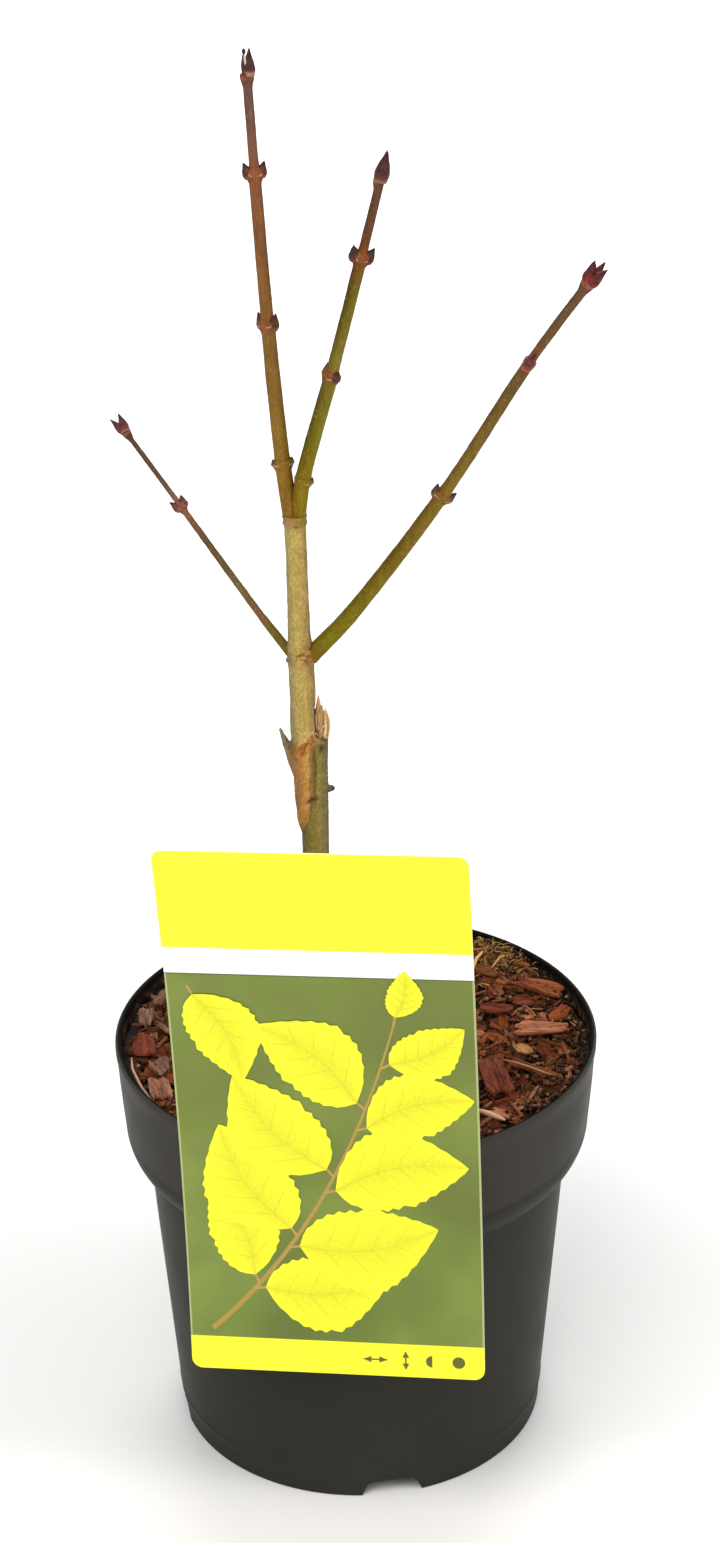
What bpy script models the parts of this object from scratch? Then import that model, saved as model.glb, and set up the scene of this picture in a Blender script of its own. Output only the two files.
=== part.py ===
"""Young grafted full moon maple, leafless, in a round nursery pot with bark mulch and a card label.

Lengths below are in millimetres and are turned into metres as the meshes are made. The origin is the
centre of the pot's flat underside, +Z is up, and the plant is seen from -Y.
"""
import math
import random

import bmesh
import bpy
from mathutils import Matrix, Vector

MM = 0.001
CLEAR = 0.3

# Pot: a standard 19 cm container
RIM_RADIUS = 95.0
POT_HEIGHT = 171.5
WALL = 1.5
LIP_THICKNESS = 2.2
COLLAR_FOOT_RADIUS = 92.3
COLLAR_FOOT_HEIGHT = 136.0
SHOULDER_HEIGHT = 119.3
SHOULDER_RADIUS = 83.5
FOOT_RADIUS = 74.2
FOOT_ROUNDING = 0.9
FOOT_BEAD_HEIGHT = 10.8
FOOT_BEAD = 0.4
CHANNEL_HEIGHT = 7.2
CHANNEL_INNER_RADIUS = 46.0
CHANNEL_SLOPE = 4.0
FOOT_RING_WIDTH = 2.4
RIM_ROUNDING = 0.6
LIP_DEPTH = 6.0
SHOULDER_CURVE = 2.2
SHOULDER_POINTS = 7
FOOT_BEAD_HALF_WIDTH = 1.2
POT_STEPS = 72
NOTCH_COUNT = 4
NOTCH_COMPASS = -80.5
NOTCH_FOOT_WIDTH = 30.8
NOTCH_TOP_WIDTH = 18.4
NOTCH_REACH = 12.0
DRAIN_COUNT = 8
DRAIN_RADIUS = 4.0
DRAIN_CIRCLE = 60.0

# Filling: compost, and a layer of bark on it
COMPOST_TOP = 150.0
MULCH_LEVEL = 162.0
CHIP_SEED = 11
CHIP_COUNT = 76
CHIP_TRIES = 12
CHIP_STEP_IN = 1.2
CHIP_SIDES = 6
CHIP_HALF_LENGTH = (7.0, 14.0)
CHIP_WIDTH_SHARE = (0.45, 0.7)
CHIP_WEAR = (0.82, 1.1)
CHIP_RISE = (0.2, 1.6)
CHIP_THICKNESS = (2.5, 4.5)
CHIP_TILT = 14.0
CHIP_TOP = 169.5
BARE_RING = 18.0

# Trunk: rootstock to its torn stub, and the scion grafted on its left side. Lines are points that climb,
# and sizes are (height, radius).
GROUND = MULCH_LEVEL + CLEAR
TRUNK_FOOT = Vector((-12.8, 0.0, GROUND))
ROOTSTOCK_RADIUS = 5.7
ROOTSTOCK_TOP_RADIUS = 4.65
STUB_TOP = 310.0
ROOTSTOCK_LINE = [(-12.8, 0.0, GROUND - 3.0), (-13.6, 0.2, 205.0), (-14.4, 0.4, 250.0),
                  (-14.1, 1.2, 285.0), (-13.5, 1.8, STUB_TOP)]
ROOTSTOCK_HEIGHTS = [GROUND - 3, GROUND, GROUND + 3, GROUND + 7, GROUND + 16, 195, 220, 250, 268, 285, 300,
                     STUB_TOP]
FLARE_RADIUS = 9.3
FLARE_HEIGHT = 16.0
FLARE_CURVE = 2.2
FLARE_ROOTS = 4
FLARE_COMPASS = 35.0
FLARE_UNEVEN = 12.0
ROOT_LINE = [(2.0, 8.0), (7.0, 3.0), (11.0, 0.4), (14.5, -2.0)]
ROOT_RADII = (3.2, 2.7, 1.9, 1.1)
SPLINTERS = [(-14.2, 0.4, 317.0), (-11.6, 1.4, 315.2), (-9.9, 2.6, 313.5)]
SPLINTER_RADII = (1.2, 0.35)
SCION_LINE = [(-18.2, -1.2, 259.0), (-18.3, -1.8, 275.0), (-18.0, -2.0, 300.0), (-18.1, -1.6, 320.0),
              (-18.9, -0.6, 342.0), (-19.1, 0.0, 362.0), (-19.6, 0.0, 387.0)]
SCION_SIZES = [(259.0, 1.3), (265.0, 2.9), (275.0, 3.6), (288.0, 4.1), (300.0, 4.9), (318.0, 4.9),
               (326.0, 4.9), (333.0, 5.0), (341.0, 4.25), (352.0, 4.0), (370.0, 3.95), (382.0, 3.95),
               (384.5, 4.45), (386.0, 4.45), (387.6, 3.9)]
CALLUS_LINE = [(-17.6, -4.6, 300.0), (-17.9, -5.2, 288.0), (-18.4, -4.2, 272.0), (-18.4, -2.6, 261.0)]
CALLUS_RADII = (0.9, 2.0, 2.1, 0.8)
SPUR_LINE = [(-20.5, -2.0, 284.0), (-23.6, -2.0, 294.0), (-27.0, -2.0, 302.0)]
SPUR_RADII = (1.6, 1.2, 0.3)
NUB = (-8.9, 0.2, 276.5)
NUB_FACING = (1.0, -0.1, 0.25)
NUB_SIZE = (2.6, 2.4)
BUMP = (-22.7, -2.4, 329.0)
BUMP_FACING = (-1.0, -0.2, 0.3)
BUMP_SIZE = (2.4, 2.6)
TRUNK_SIDES = 5

# Shoots: how thick a joint swells over its shoot, and how far along a shoot the trunk's own arm reaches
JOINT_SWELL = 0.22
JOINT_REACH = 1.7
SHOOT_SIDES = 3
STATION_STEP = 6.0
JOINT_STATIONS = (-3.0, -1.2, 0.0, 1.2, 3.0)
TWIG_FOOT = 3.2

# Buds: shares of a bud's length that are sunk in its seat, and of its width that a pair stands apart
BUD_SUNK = 0.25
BUD_TAPER = 0.45
TIP_APART = 0.24
TIP_RISE = 0.12
SIDE_DROP = 0.3
SIDE_OUT = 0.12

# Label
CARD_WIDTH = 111.5
CARD_HEIGHT = 220.0
CARD_THICKNESS = 0.6
CARD_CORNER = 4.0
CARD_CORNER_ROWS = 3
CARD_BOW = 8.0
CARD_LEAN = 1.85
CARD_COMPASS = -98.0
CARD_SHIFT = 2.65
CARD_MIDDLE_HEIGHT = 192.0
CARD_ROWS = 16
HANGER_WIDTH = 26.0
HANGER_THICKNESS = 0.8
HANGER_TOP = 206.0
HANGER_FOOT = 163.0
HANGER_CHIP_GAP = 4.0
HANGER_LEG_ROOM = 9.0


class Internode:
    """One stretch of a shoot between two joints: its direction, thickness and the buds at its top."""

    def __init__(self, length, lean, compass, thick, bud=None, turn=0.0, count=2, spread=20.0):
        self.length = length
        self.lean = math.radians(lean)
        self.compass = math.radians(compass)
        self.foot_radius = thick[0] / 2
        self.top_radius = thick[1] / 2
        self.bud = bud
        self.turn = math.radians(turn)
        self.count = count
        self.spread = math.radians(spread)

    def step(self):
        across = math.sin(self.lean)
        return self.length * Vector((across * math.cos(self.compass), across * math.sin(self.compass),
                                     math.cos(self.lean)))


# Bud sizes are (length, width); lean is from upright and compass is from +X towards +Y, in degrees
SHOOTS = {
    "leader": {
        "foot": (-20.4, 0.0, 384.0), "arm": 19.5,
        "internodes": [
            Internode(24.6, 8.1, 156, (6.2, 5.8), (2.0, 2.0), turn=10),
            Internode(51.9, 5.5, 148, (5.6, 5.2), (5.0, 3.0), turn=140),
            Internode(53.8, 4.6, 140, (4.6, 4.4), (4.6, 3.0), turn=8),
            Internode(33.2, 4.0, 139, (3.5, 3.3), (8.4, 3.4), turn=20, spread=5),
        ]},
    "second": {
        "foot": (-18.8, 0.0, 384.0), "arm": 20.5,
        "internodes": [
            Internode(18.8, 8.7, -25, (6.0, 5.7), (2.0, 1.9), turn=175, count=1),
            Internode(42.6, 16.1, -20, (5.6, 5.2), (3.6, 2.8), turn=125),
            Internode(45.8, 15.2, -21, (4.5, 4.4), (4.8, 3.2), turn=8),
            Internode(28.2, 14.6, -19, (3.4, 3.1), (9.2, 4.6), count=1, spread=0),
        ]},
    "right": {
        "foot": (-15.0, 0.0, 331.9), "arm": 8.0,
        "internodes": [
            Internode(24.8, 40.8, -12.5, (6.6, 6.0)),
            Internode(60.3, 35.0, -14.3, (5.9, 5.1), (4.2, 2.5), turn=5),
            Internode(61.0, 31.1, -16.9, (4.6, 4.1), (4.8, 3.3), turn=80),
            Internode(35.6, 34.3, -15.0, (3.2, 3.5), (7.6, 4.0), turn=10, count=3, spread=17),
        ]},
    "left": {
        "foot": (-22.1, 0.0, 333.1), "arm": 3.6,
        "internodes": [
            Internode(17.4, 40.9, 158, (3.6, 3.0)),
            Internode(51.9, 37.7, 160, (2.8, 2.3), (4.0, 2.5), turn=10),
            Internode(33.6, 38.1, 160, (1.9, 1.9), (6.6, 3.2), turn=0, spread=12),
        ]},
}


def clear_scene():
    for item in list(bpy.data.objects):
        bpy.data.objects.remove(item, do_unlink=True)


def make_collection(name):
    collection = bpy.data.collections.new(name)
    bpy.context.scene.collection.children.link(collection)
    return collection


def make_material(name, colour, roughness, metallic=0.0):
    material = bpy.data.materials.new(name)
    material.use_nodes = True
    shader = material.node_tree.nodes["Principled BSDF"]
    shader.inputs["Base Color"].default_value = (*colour, 1.0)
    shader.inputs["Roughness"].default_value = roughness
    shader.inputs["Metallic"].default_value = metallic
    return material


def add_object(name, mesh, collection, material=None):
    item = bpy.data.objects.new(name, mesh)
    collection.objects.link(item)
    if material:
        mesh.materials.clear()
        mesh.materials.append(material)
    return item


def mesh_from(bm, name):
    bmesh.ops.recalc_face_normals(bm, faces=bm.faces)
    mesh = bpy.data.meshes.new(name)
    bm.to_mesh(mesh)
    bm.free()
    return mesh


def evaluated_mesh(item):
    depsgraph = bpy.context.evaluated_depsgraph_get()
    depsgraph.update()
    return bpy.data.meshes.new_from_object(item.evaluated_get(depsgraph))


def smooth_round(item, angle=35.0):
    item.data.shade_smooth()
    item.data.set_sharp_from_angle(angle=math.radians(angle))


def between(low, high, share):
    return low + (high - low) * share


def facing(direction):
    """Rotation that takes +Z to a direction."""
    return Vector(direction).to_track_quat("Z", "Y").to_matrix().to_4x4()


def tapered_tube(name, points, radii, resolution):
    """A closed tube through points, with its own radius at each, as a mesh object."""
    curve = bpy.data.curves.new(name, "CURVE")
    curve.dimensions = "3D"
    curve.bevel_depth = MM
    curve.bevel_resolution = resolution
    curve.use_fill_caps = True
    curve.render_resolution_u = 0
    spline = curve.splines.new("POLY")
    spline.points.add(len(points) - 1)
    for station, point, radius in zip(spline.points, points, radii):
        station.co = (*(Vector(point) * MM), 1.0)
        station.radius = radius
    guide = bpy.data.objects.new(name, curve)
    bpy.context.scene.collection.objects.link(guide)
    mesh = evaluated_mesh(guide)
    bpy.data.objects.remove(guide, do_unlink=True)
    bpy.data.curves.remove(curve)
    bm = bmesh.new()
    bm.from_mesh(mesh)
    bmesh.ops.remove_doubles(bm, verts=bm.verts, dist=1e-6)
    bpy.data.meshes.remove(mesh)
    item = bpy.data.objects.new(name, mesh_from(bm, name))
    bpy.context.scene.collection.objects.link(item)
    return item


def bud(base, direction, length, width):
    """A pointed egg whose widest place is a third of the way up."""
    bm = bmesh.new()
    bmesh.ops.create_uvsphere(bm, u_segments=7, v_segments=5, radius=1.0)
    for vert in bm.verts:
        height = (vert.co.z + 1) / 2
        narrow = min(1.0, (2 * (1 - height)) ** BUD_TAPER)
        vert.co = Vector((vert.co.x * narrow * width / 2, vert.co.y * narrow * width / 2,
                          between(-BUD_SUNK, 1.0, height) * length))
    place = Matrix.Translation(base) @ facing(direction)
    bmesh.ops.transform(bm, matrix=Matrix.Scale(MM, 4) @ place, verts=bm.verts)
    item = bpy.data.objects.new("bud", mesh_from(bm, "bud"))
    bpy.context.scene.collection.objects.link(item)
    return item


def fuse(name, pieces, collection, material):
    """Join pieces into one closed solid and remove them."""
    body, others = pieces[0], pieces[1:]
    if others:
        operands = make_collection(name + "_pieces")
        for piece in others:
            bpy.context.scene.collection.objects.unlink(piece)
            operands.objects.link(piece)
        union = body.modifiers.new("union", "BOOLEAN")
        union.operation = "UNION"
        union.operand_type = "COLLECTION"
        union.collection = operands
        union.solver = "EXACT"
        union.use_self = True
    mesh = evaluated_mesh(body)
    for piece in pieces:
        bpy.data.objects.remove(piece, do_unlink=True)
    if others:
        bpy.data.collections.remove(operands)
    mesh.name = name
    item = add_object(name, mesh, collection, material)
    smooth_round(item)
    return item


class Shoot:
    """A shoot's smooth axis through its joints, with the radius and the buds along it."""

    def __init__(self, plan):
        self.internodes = plan["internodes"]
        self.arm = plan["arm"]
        self.joints = [Vector(plan["foot"])]
        self.places = [0.0]
        for internode in self.internodes:
            self.joints.append(self.joints[-1] + internode.step())
            self.places.append(self.places[-1] + internode.length)
        self.length = self.places[-1]

    def index(self, place):
        last = len(self.internodes) - 1
        return min(last, sum(1 for joint in self.places[1:] if joint <= place))

    def point(self, place):
        """A curve through the joints that leaves each along the line between its neighbours."""
        i = self.index(place)
        start, end = self.joints[i], self.joints[i + 1]
        before = self.joints[i - 1] if i else start - (end - start)
        after = self.joints[i + 2] if i + 2 < len(self.joints) else end + (end - start)
        share = (place - self.places[i]) / self.internodes[i].length
        reach = self.internodes[i].length / 3
        handle_in = start + (end - before).normalized() * reach
        handle_out = end - (after - start).normalized() * reach
        rest = 1 - share
        return (start * rest ** 3 + handle_in * 3 * rest ** 2 * share
                + handle_out * 3 * rest * share ** 2 + end * share ** 3)

    def direction(self, place):
        step = 0.5
        return (self.point(min(self.length, place + step)) - self.point(max(0.0, place - step))).normalized()

    def radius(self, place):
        i = self.index(place)
        internode = self.internodes[i]
        share = (place - self.places[i]) / internode.length
        radius = between(internode.foot_radius, internode.top_radius, min(1.0, share))
        for joint, below in zip(self.places[1:], self.internodes):
            if below.bud and joint < self.length:
                distance = (place - joint) / JOINT_REACH
                radius += below.top_radius * JOINT_SWELL * math.exp(-distance * distance)
        return radius

    def stations(self, low, high):
        """Places along the axis, closer together at the joints."""
        places = {low, high}
        count = max(1, round((high - low) / STATION_STEP))
        places.update(between(low, high, i / count) for i in range(1, count))
        for joint in self.places[1:-1]:
            near = [joint + offset for offset in JOINT_STATIONS]
            room = JOINT_STATIONS[-1] + STATION_STEP / 4
            places = {place for place in places if abs(place - joint) > room} | {low, high}
            places.update(place for place in near if low + 0.5 < place < high - 0.5)
        return sorted(places)

    def pieces(self, low, high):
        """The tube between two places and the buds that stand on it."""
        places = self.stations(low, high)
        found = [tapered_tube("shoot", [self.point(p) for p in places],
                              [self.radius(p) for p in places], SHOOT_SIDES)]
        for joint, below in zip(self.places[1:], self.internodes):
            if below.bud and low < joint <= high + 0.01:
                found += self.buds(joint, below, joint > self.length - 0.01)
        return found

    def buds(self, joint, below, at_tip):
        length, width = below.bud
        axis = self.direction(joint)
        side = axis.cross(Vector((0, 1, 0))).normalized()
        found = []
        for i in range(below.count):
            angle = below.turn + i * 2 * math.pi / below.count
            out = Matrix.Rotation(angle, 3, axis) @ side
            lean = below.spread
            pointing = (axis * math.cos(lean) + out * math.sin(lean)).normalized()
            if at_tip:
                stand = 0.0 if below.count == 1 else width * TIP_APART
                seat = self.point(joint) + out * stand + axis * length * TIP_RISE
            else:
                stand = below.top_radius + width * SIDE_OUT
                seat = self.point(joint) + out * stand - axis * length * SIDE_DROP
            found.append(bud(seat, pointing, length, width))
        return found


def pot_outer_profile():
    """Outer side from the rim down to the foot."""
    profile = [(RIM_RADIUS - RIM_ROUNDING, POT_HEIGHT), (RIM_RADIUS, POT_HEIGHT - RIM_ROUNDING)]
    profile.append((COLLAR_FOOT_RADIUS, COLLAR_FOOT_HEIGHT))
    drop = COLLAR_FOOT_HEIGHT - SHOULDER_HEIGHT
    for i in range(1, SHOULDER_POINTS + 1):
        share = i / SHOULDER_POINTS
        inset = (COLLAR_FOOT_RADIUS - SHOULDER_RADIUS) * share ** SHOULDER_CURVE
        profile.append((COLLAR_FOOT_RADIUS - inset, COLLAR_FOOT_HEIGHT - drop * share))
    bead_radius = between(FOOT_RADIUS, SHOULDER_RADIUS, FOOT_BEAD_HEIGHT / SHOULDER_HEIGHT)
    profile.append((bead_radius, FOOT_BEAD_HEIGHT + FOOT_BEAD_HALF_WIDTH))
    profile.append((bead_radius + FOOT_BEAD, FOOT_BEAD_HEIGHT))
    profile.append((FOOT_RADIUS + FOOT_BEAD, FOOT_ROUNDING))
    profile.append((FOOT_RADIUS - FOOT_ROUNDING, 0.0))
    return profile


def pot_inner_profile(gap=0.0):
    """Inner side from the middle of the floor up to the lip, or a surface that keeps a gap to it."""
    floor = WALL + gap
    shelf = CHANNEL_HEIGHT + WALL + gap
    wall = WALL + gap
    profile = [(0.0, floor), (CHANNEL_INNER_RADIUS - CHANNEL_SLOPE - gap, floor),
               (CHANNEL_INNER_RADIUS - gap, shelf)]
    shelf_radius = between(FOOT_RADIUS, SHOULDER_RADIUS, shelf / SHOULDER_HEIGHT) - wall
    profile.append((shelf_radius, shelf))
    profile.append((SHOULDER_RADIUS - wall, SHOULDER_HEIGHT + 0.5))
    drop = COLLAR_FOOT_HEIGHT - SHOULDER_HEIGHT
    for share in (0.5, 0.0):
        inset = (COLLAR_FOOT_RADIUS - SHOULDER_RADIUS) * share ** SHOULDER_CURVE
        profile.append((COLLAR_FOOT_RADIUS - inset - wall - gap, COLLAR_FOOT_HEIGHT - drop * share))
    profile.append((RIM_RADIUS - LIP_THICKNESS - gap, POT_HEIGHT - LIP_DEPTH))
    profile.append((RIM_RADIUS - LIP_THICKNESS - gap, POT_HEIGHT))
    return profile


def radius_at(profile, height):
    """Radius of a profile at a height, on its outer wall."""
    for (low_radius, low), (high_radius, high) in zip(profile[2:], profile[3:]):
        if low <= height <= high:
            return between(low_radius, high_radius, (height - low) / (high - low))
    return profile[-1][0]


def turned(name, profile, collection, material):
    """A turned solid from a profile that starts and ends on the axis, with its outer side top to bottom."""
    bm = bmesh.new()
    verts = [bm.verts.new((radius * MM, 0.0, height * MM)) for radius, height in profile]
    for low, high in zip(verts, verts[1:]):
        bm.edges.new((low, high))
    mesh = bpy.data.meshes.new(name)
    bm.to_mesh(mesh)
    bm.free()
    item = add_object(name, mesh, collection, material)
    screw = item.modifiers.new("turn", "SCREW")
    screw.steps = POT_STEPS
    screw.render_steps = POT_STEPS
    screw.use_merge_vertices = True
    screw.merge_threshold = 0.00001
    screw.use_smooth_shade = True
    return item


def block_cutter(name, compass, collection):
    """A wedge-sided block through the foot ring, wider at the ground."""
    bm = bmesh.new()
    bmesh.ops.create_cube(bm, size=1.0)
    for vert in bm.verts:
        width = NOTCH_FOOT_WIDTH if vert.co.z < 0 else NOTCH_TOP_WIDTH
        height = CHANNEL_HEIGHT if vert.co.z > 0 else -CHANNEL_HEIGHT
        vert.co = Vector((FOOT_RADIUS + vert.co.x * NOTCH_REACH, vert.co.y * width, height)) * MM
    cutter = add_object(name, mesh_from(bm, name), collection)
    cutter.rotation_euler = (0, 0, math.radians(compass))
    hide_cutter(cutter)
    return cutter


def drain_cutter(name, compass, collection):
    bm = bmesh.new()
    bmesh.ops.create_cone(bm, cap_ends=True, segments=12, radius1=DRAIN_RADIUS * MM,
                          radius2=DRAIN_RADIUS * MM, depth=2 * CHANNEL_HEIGHT * MM)
    cutter = add_object(name, mesh_from(bm, name), collection)
    angle = math.radians(compass)
    place = Vector((math.cos(angle) * DRAIN_CIRCLE, math.sin(angle) * DRAIN_CIRCLE, CHANNEL_HEIGHT))
    cutter.location = place * MM
    hide_cutter(cutter)
    return cutter


def hide_cutter(cutter):
    cutter.hide_render = True
    cutter.display_type = "WIRE"


def make_pot(parts, cutters):
    """Thin pot with a rolled collar, drainage notches round its foot and holes in the raised channel."""
    outer = pot_outer_profile()
    ring_inside = FOOT_RADIUS - FOOT_RING_WIDTH
    underside = [(ring_inside, 0.0), (ring_inside, CHANNEL_HEIGHT),
                 (CHANNEL_INNER_RADIUS + WALL, CHANNEL_HEIGHT),
                 (CHANNEL_INNER_RADIUS + WALL - CHANNEL_SLOPE, 0.0), (0.0, 0.0)]
    material = make_material("pot_plastic", (0.035, 0.033, 0.03), 0.45)
    pot = turned("pot", pot_inner_profile() + outer + underside, parts, material)
    for i in range(NOTCH_COUNT):
        block_cutter(f"notch_{i + 1}", NOTCH_COMPASS + i * 360 / NOTCH_COUNT, cutters)
    for i in range(DRAIN_COUNT):
        compass = NOTCH_COMPASS + (i + 0.5) * 360 / DRAIN_COUNT
        drain_cutter(f"drain_{i + 1}", compass, cutters)
    cut = pot.modifiers.new("openings", "BOOLEAN")
    cut.operation = "DIFFERENCE"
    cut.operand_type = "COLLECTION"
    cut.collection = cutters
    cut.solver = "EXACT"
    return pot


def make_root_ball(parts):
    """Compost that fills the pot up to the bark."""
    fill = pot_inner_profile(CLEAR)
    side = [(radius, height) for radius, height in fill if height < COMPOST_TOP]
    side += [(radius_at(fill, COMPOST_TOP), COMPOST_TOP), (0.0, COMPOST_TOP)]
    material = make_material("compost", (0.03, 0.017, 0.01), 0.95)
    # The profile is turned over so that its outer side runs from top to bottom
    return turned("root_ball", list(reversed(side)), parts, material)


def chip(rng, place, heading):
    """One flat six-sided flake of bark."""
    half_length = rng.uniform(*CHIP_HALF_LENGTH)
    half_width = half_length * rng.uniform(*CHIP_WIDTH_SHARE)
    thickness = rng.uniform(*CHIP_THICKNESS)
    bm = bmesh.new()
    bmesh.ops.create_cone(bm, cap_ends=True, segments=CHIP_SIDES, radius1=1.0, radius2=CHIP_WEAR[0],
                          depth=1.0)
    for vert in bm.verts:
        wear = rng.uniform(*CHIP_WEAR)
        vert.co = Vector((vert.co.x * half_length * wear, vert.co.y * half_width * wear,
                          vert.co.z * thickness))
    tilt = [math.radians(rng.uniform(-CHIP_TILT, CHIP_TILT)) for _ in range(2)]
    tilted = Matrix.Rotation(tilt[0], 4, "X") @ Matrix.Rotation(tilt[1], 4, "Y")
    turned_to = Matrix.Rotation(heading, 4, "Z") @ tilted
    bmesh.ops.transform(bm, matrix=Matrix.Scale(MM, 4) @ Matrix.Translation(place) @ turned_to,
                        verts=bm.verts)
    return bm


def chip_fits(bm, wall_radius):
    """True when a flake stays inside the pot, off the trunk's foot and off the label's hanger."""
    seat = math.radians(CARD_COMPASS)
    outward = Vector((math.cos(seat), math.sin(seat)))
    across = Vector((-outward.y, outward.x))
    for vert in bm.verts:
        flat = Vector((vert.co.x, vert.co.y)) / MM
        if flat.length > wall_radius or vert.co.z > CHIP_TOP * MM:
            return False
        if (flat - TRUNK_FOOT.xy).length < BARE_RING:
            return False
        beside = abs(flat.dot(across)) > HANGER_WIDTH / 2 + HANGER_CHIP_GAP
        if flat.dot(outward) > RIM_RADIUS - HANGER_LEG_ROOM and not beside:
            return False
    return True


def make_mulch(parts):
    """A layer of bark with larger flakes lying on it, all one solid."""
    fill = pot_inner_profile(CLEAR)
    foot = COMPOST_TOP + CLEAR
    foot_radius = radius_at(fill, foot)
    top_radius = radius_at(fill, MULCH_LEVEL)
    bm = bmesh.new()
    bmesh.ops.create_cone(bm, cap_ends=True, segments=POT_STEPS, radius1=foot_radius * MM,
                          radius2=top_radius * MM, depth=(MULCH_LEVEL - foot) * MM)
    bmesh.ops.translate(bm, vec=(0, 0, (MULCH_LEVEL + foot) / 2 * MM), verts=bm.verts)
    pieces = [bpy.data.objects.new("layer", mesh_from(bm, "layer"))]
    bpy.context.scene.collection.objects.link(pieces[0])
    rng = random.Random(CHIP_SEED)
    golden = math.pi * (3 - math.sqrt(5))
    for i in range(CHIP_COUNT):
        radius = (top_radius - CHIP_THICKNESS[1]) * math.sqrt((i + 0.5) / CHIP_COUNT)
        angle = i * golden
        for attempt in range(CHIP_TRIES):
            slip = radius - attempt * CHIP_STEP_IN
            place = Vector((slip * math.cos(angle), slip * math.sin(angle),
                            MULCH_LEVEL + rng.uniform(*CHIP_RISE)))
            flake = chip(rng, place, rng.uniform(0, math.pi))
            if chip_fits(flake, top_radius - 0.6):
                item = bpy.data.objects.new("chip", mesh_from(flake, "chip"))
                bpy.context.scene.collection.objects.link(item)
                pieces.append(item)
                break
            flake.free()
    material = make_material("bark_mulch", (0.14, 0.045, 0.025), 0.85)
    return fuse("bark_mulch", pieces, parts, material)


def along(points, height):
    """The point at a height on a line of points that climbs or falls."""
    for start, end in zip(points, points[1:]):
        if min(start[2], end[2]) <= height <= max(start[2], end[2]):
            return Vector(start).lerp(Vector(end), (height - start[2]) / (end[2] - start[2]))
    return Vector(max(points, key=lambda point: point[2]))


def rootstock_radius(height):
    """Slow taper, with a flare that dies out FLARE_HEIGHT above the ground."""
    rise = 1 - (height - GROUND) / FLARE_HEIGHT
    flare = (FLARE_RADIUS - ROOTSTOCK_RADIUS) * max(0.0, rise) ** FLARE_CURVE
    return between(ROOTSTOCK_RADIUS, ROOTSTOCK_TOP_RADIUS, (height - GROUND) / (STUB_TOP - GROUND)) + flare


def rootstock_pieces():
    """Rootstock with its flare and surface roots, up to the torn stub beside the graft."""
    found = [tapered_tube("rootstock", [along(ROOTSTOCK_LINE, height) for height in ROOTSTOCK_HEIGHTS],
                          [rootstock_radius(height) for height in ROOTSTOCK_HEIGHTS], TRUNK_SIDES)]
    for i in range(FLARE_ROOTS):
        angle = math.radians(FLARE_COMPASS + i * 360 / FLARE_ROOTS + FLARE_UNEVEN * (-1) ** i)
        out = Vector((math.cos(angle), math.sin(angle), 0))
        root = [TRUNK_FOOT + out * reach + Vector((0, 0, rise)) for reach, rise in ROOT_LINE]
        found.append(tapered_tube("root", root, ROOT_RADII, SHOOT_SIDES - 1))
    for tip in SPLINTERS:
        foot = (tip[0], tip[1], STUB_TOP - 3 * SPLINTER_RADII[0])
        found.append(tapered_tube("splinter", [foot, tip], SPLINTER_RADII, 1))
    found.append(bud(Vector(NUB), NUB_FACING, *NUB_SIZE))
    return found


def scion_pieces():
    """Scion from its wedge in the rootstock, over the side joint, to the ring under the fork."""
    found = [tapered_tube("scion", [along(SCION_LINE, height) for height, _ in SCION_SIZES],
                          [radius for _, radius in SCION_SIZES], TRUNK_SIDES)]
    found.append(tapered_tube("callus", CALLUS_LINE, CALLUS_RADII, SHOOT_SIDES))
    found.append(tapered_tube("spur", SPUR_LINE, SPUR_RADII, 1))
    found.append(bud(Vector(BUMP), BUMP_FACING, *BUMP_SIZE))
    return found


def make_trunk(parts, shoots):
    """Trunk from its flat cut at the mulch to its fork, with the short arms that the boughs go on from."""
    pieces = rootstock_pieces() + scion_pieces()
    for shoot in shoots.values():
        pieces += shoot.pieces(0.0, shoot.arm)
    material = make_material("trunk_bark", (0.42, 0.32, 0.12), 0.75)
    trunk = fuse("trunk", pieces, parts, material)
    bm = bmesh.new()
    bm.from_mesh(trunk.data)
    everything = list(bm.verts) + list(bm.edges) + list(bm.faces)
    cut = bmesh.ops.bisect_plane(bm, geom=everything, plane_co=(0, 0, GROUND * MM), plane_no=(0, 0, 1),
                                 clear_inner=True)
    rim = [part for part in cut["geom_cut"] if isinstance(part, bmesh.types.BMEdge)]
    bmesh.ops.contextual_create(bm, geom=rim)
    bm.to_mesh(trunk.data)
    bm.free()
    smooth_round(trunk)
    return trunk


def make_boughs(parts, shoots):
    """Each bough from the trunk's arm to just under its last joint, and the twig that goes on from there."""
    colours = {"leader": (0.25, 0.11, 0.04), "second": (0.20, 0.17, 0.03),
               "right": (0.20, 0.15, 0.03), "left": (0.19, 0.10, 0.04)}
    for name, shoot in shoots.items():
        split = shoot.places[-2] - TWIG_FOOT
        wood = make_material(name + "_bark", colours[name], 0.5)
        twig_bark = make_material(name + "_twig_bark", (0.16, 0.06, 0.035), 0.5)
        fuse(name + "_bough", shoot.pieces(shoot.arm + CLEAR, split), parts, wood)
        fuse(name + "_twig", shoot.pieces(split + CLEAR, shoot.length), parts, twig_bark)


def card_bow(height):
    """How far the card stands off its middle, towards the viewer, at a height above its foot."""
    share = 2 * height / CARD_HEIGHT - 1
    return CARD_BOW * (share * share - 1)


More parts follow.
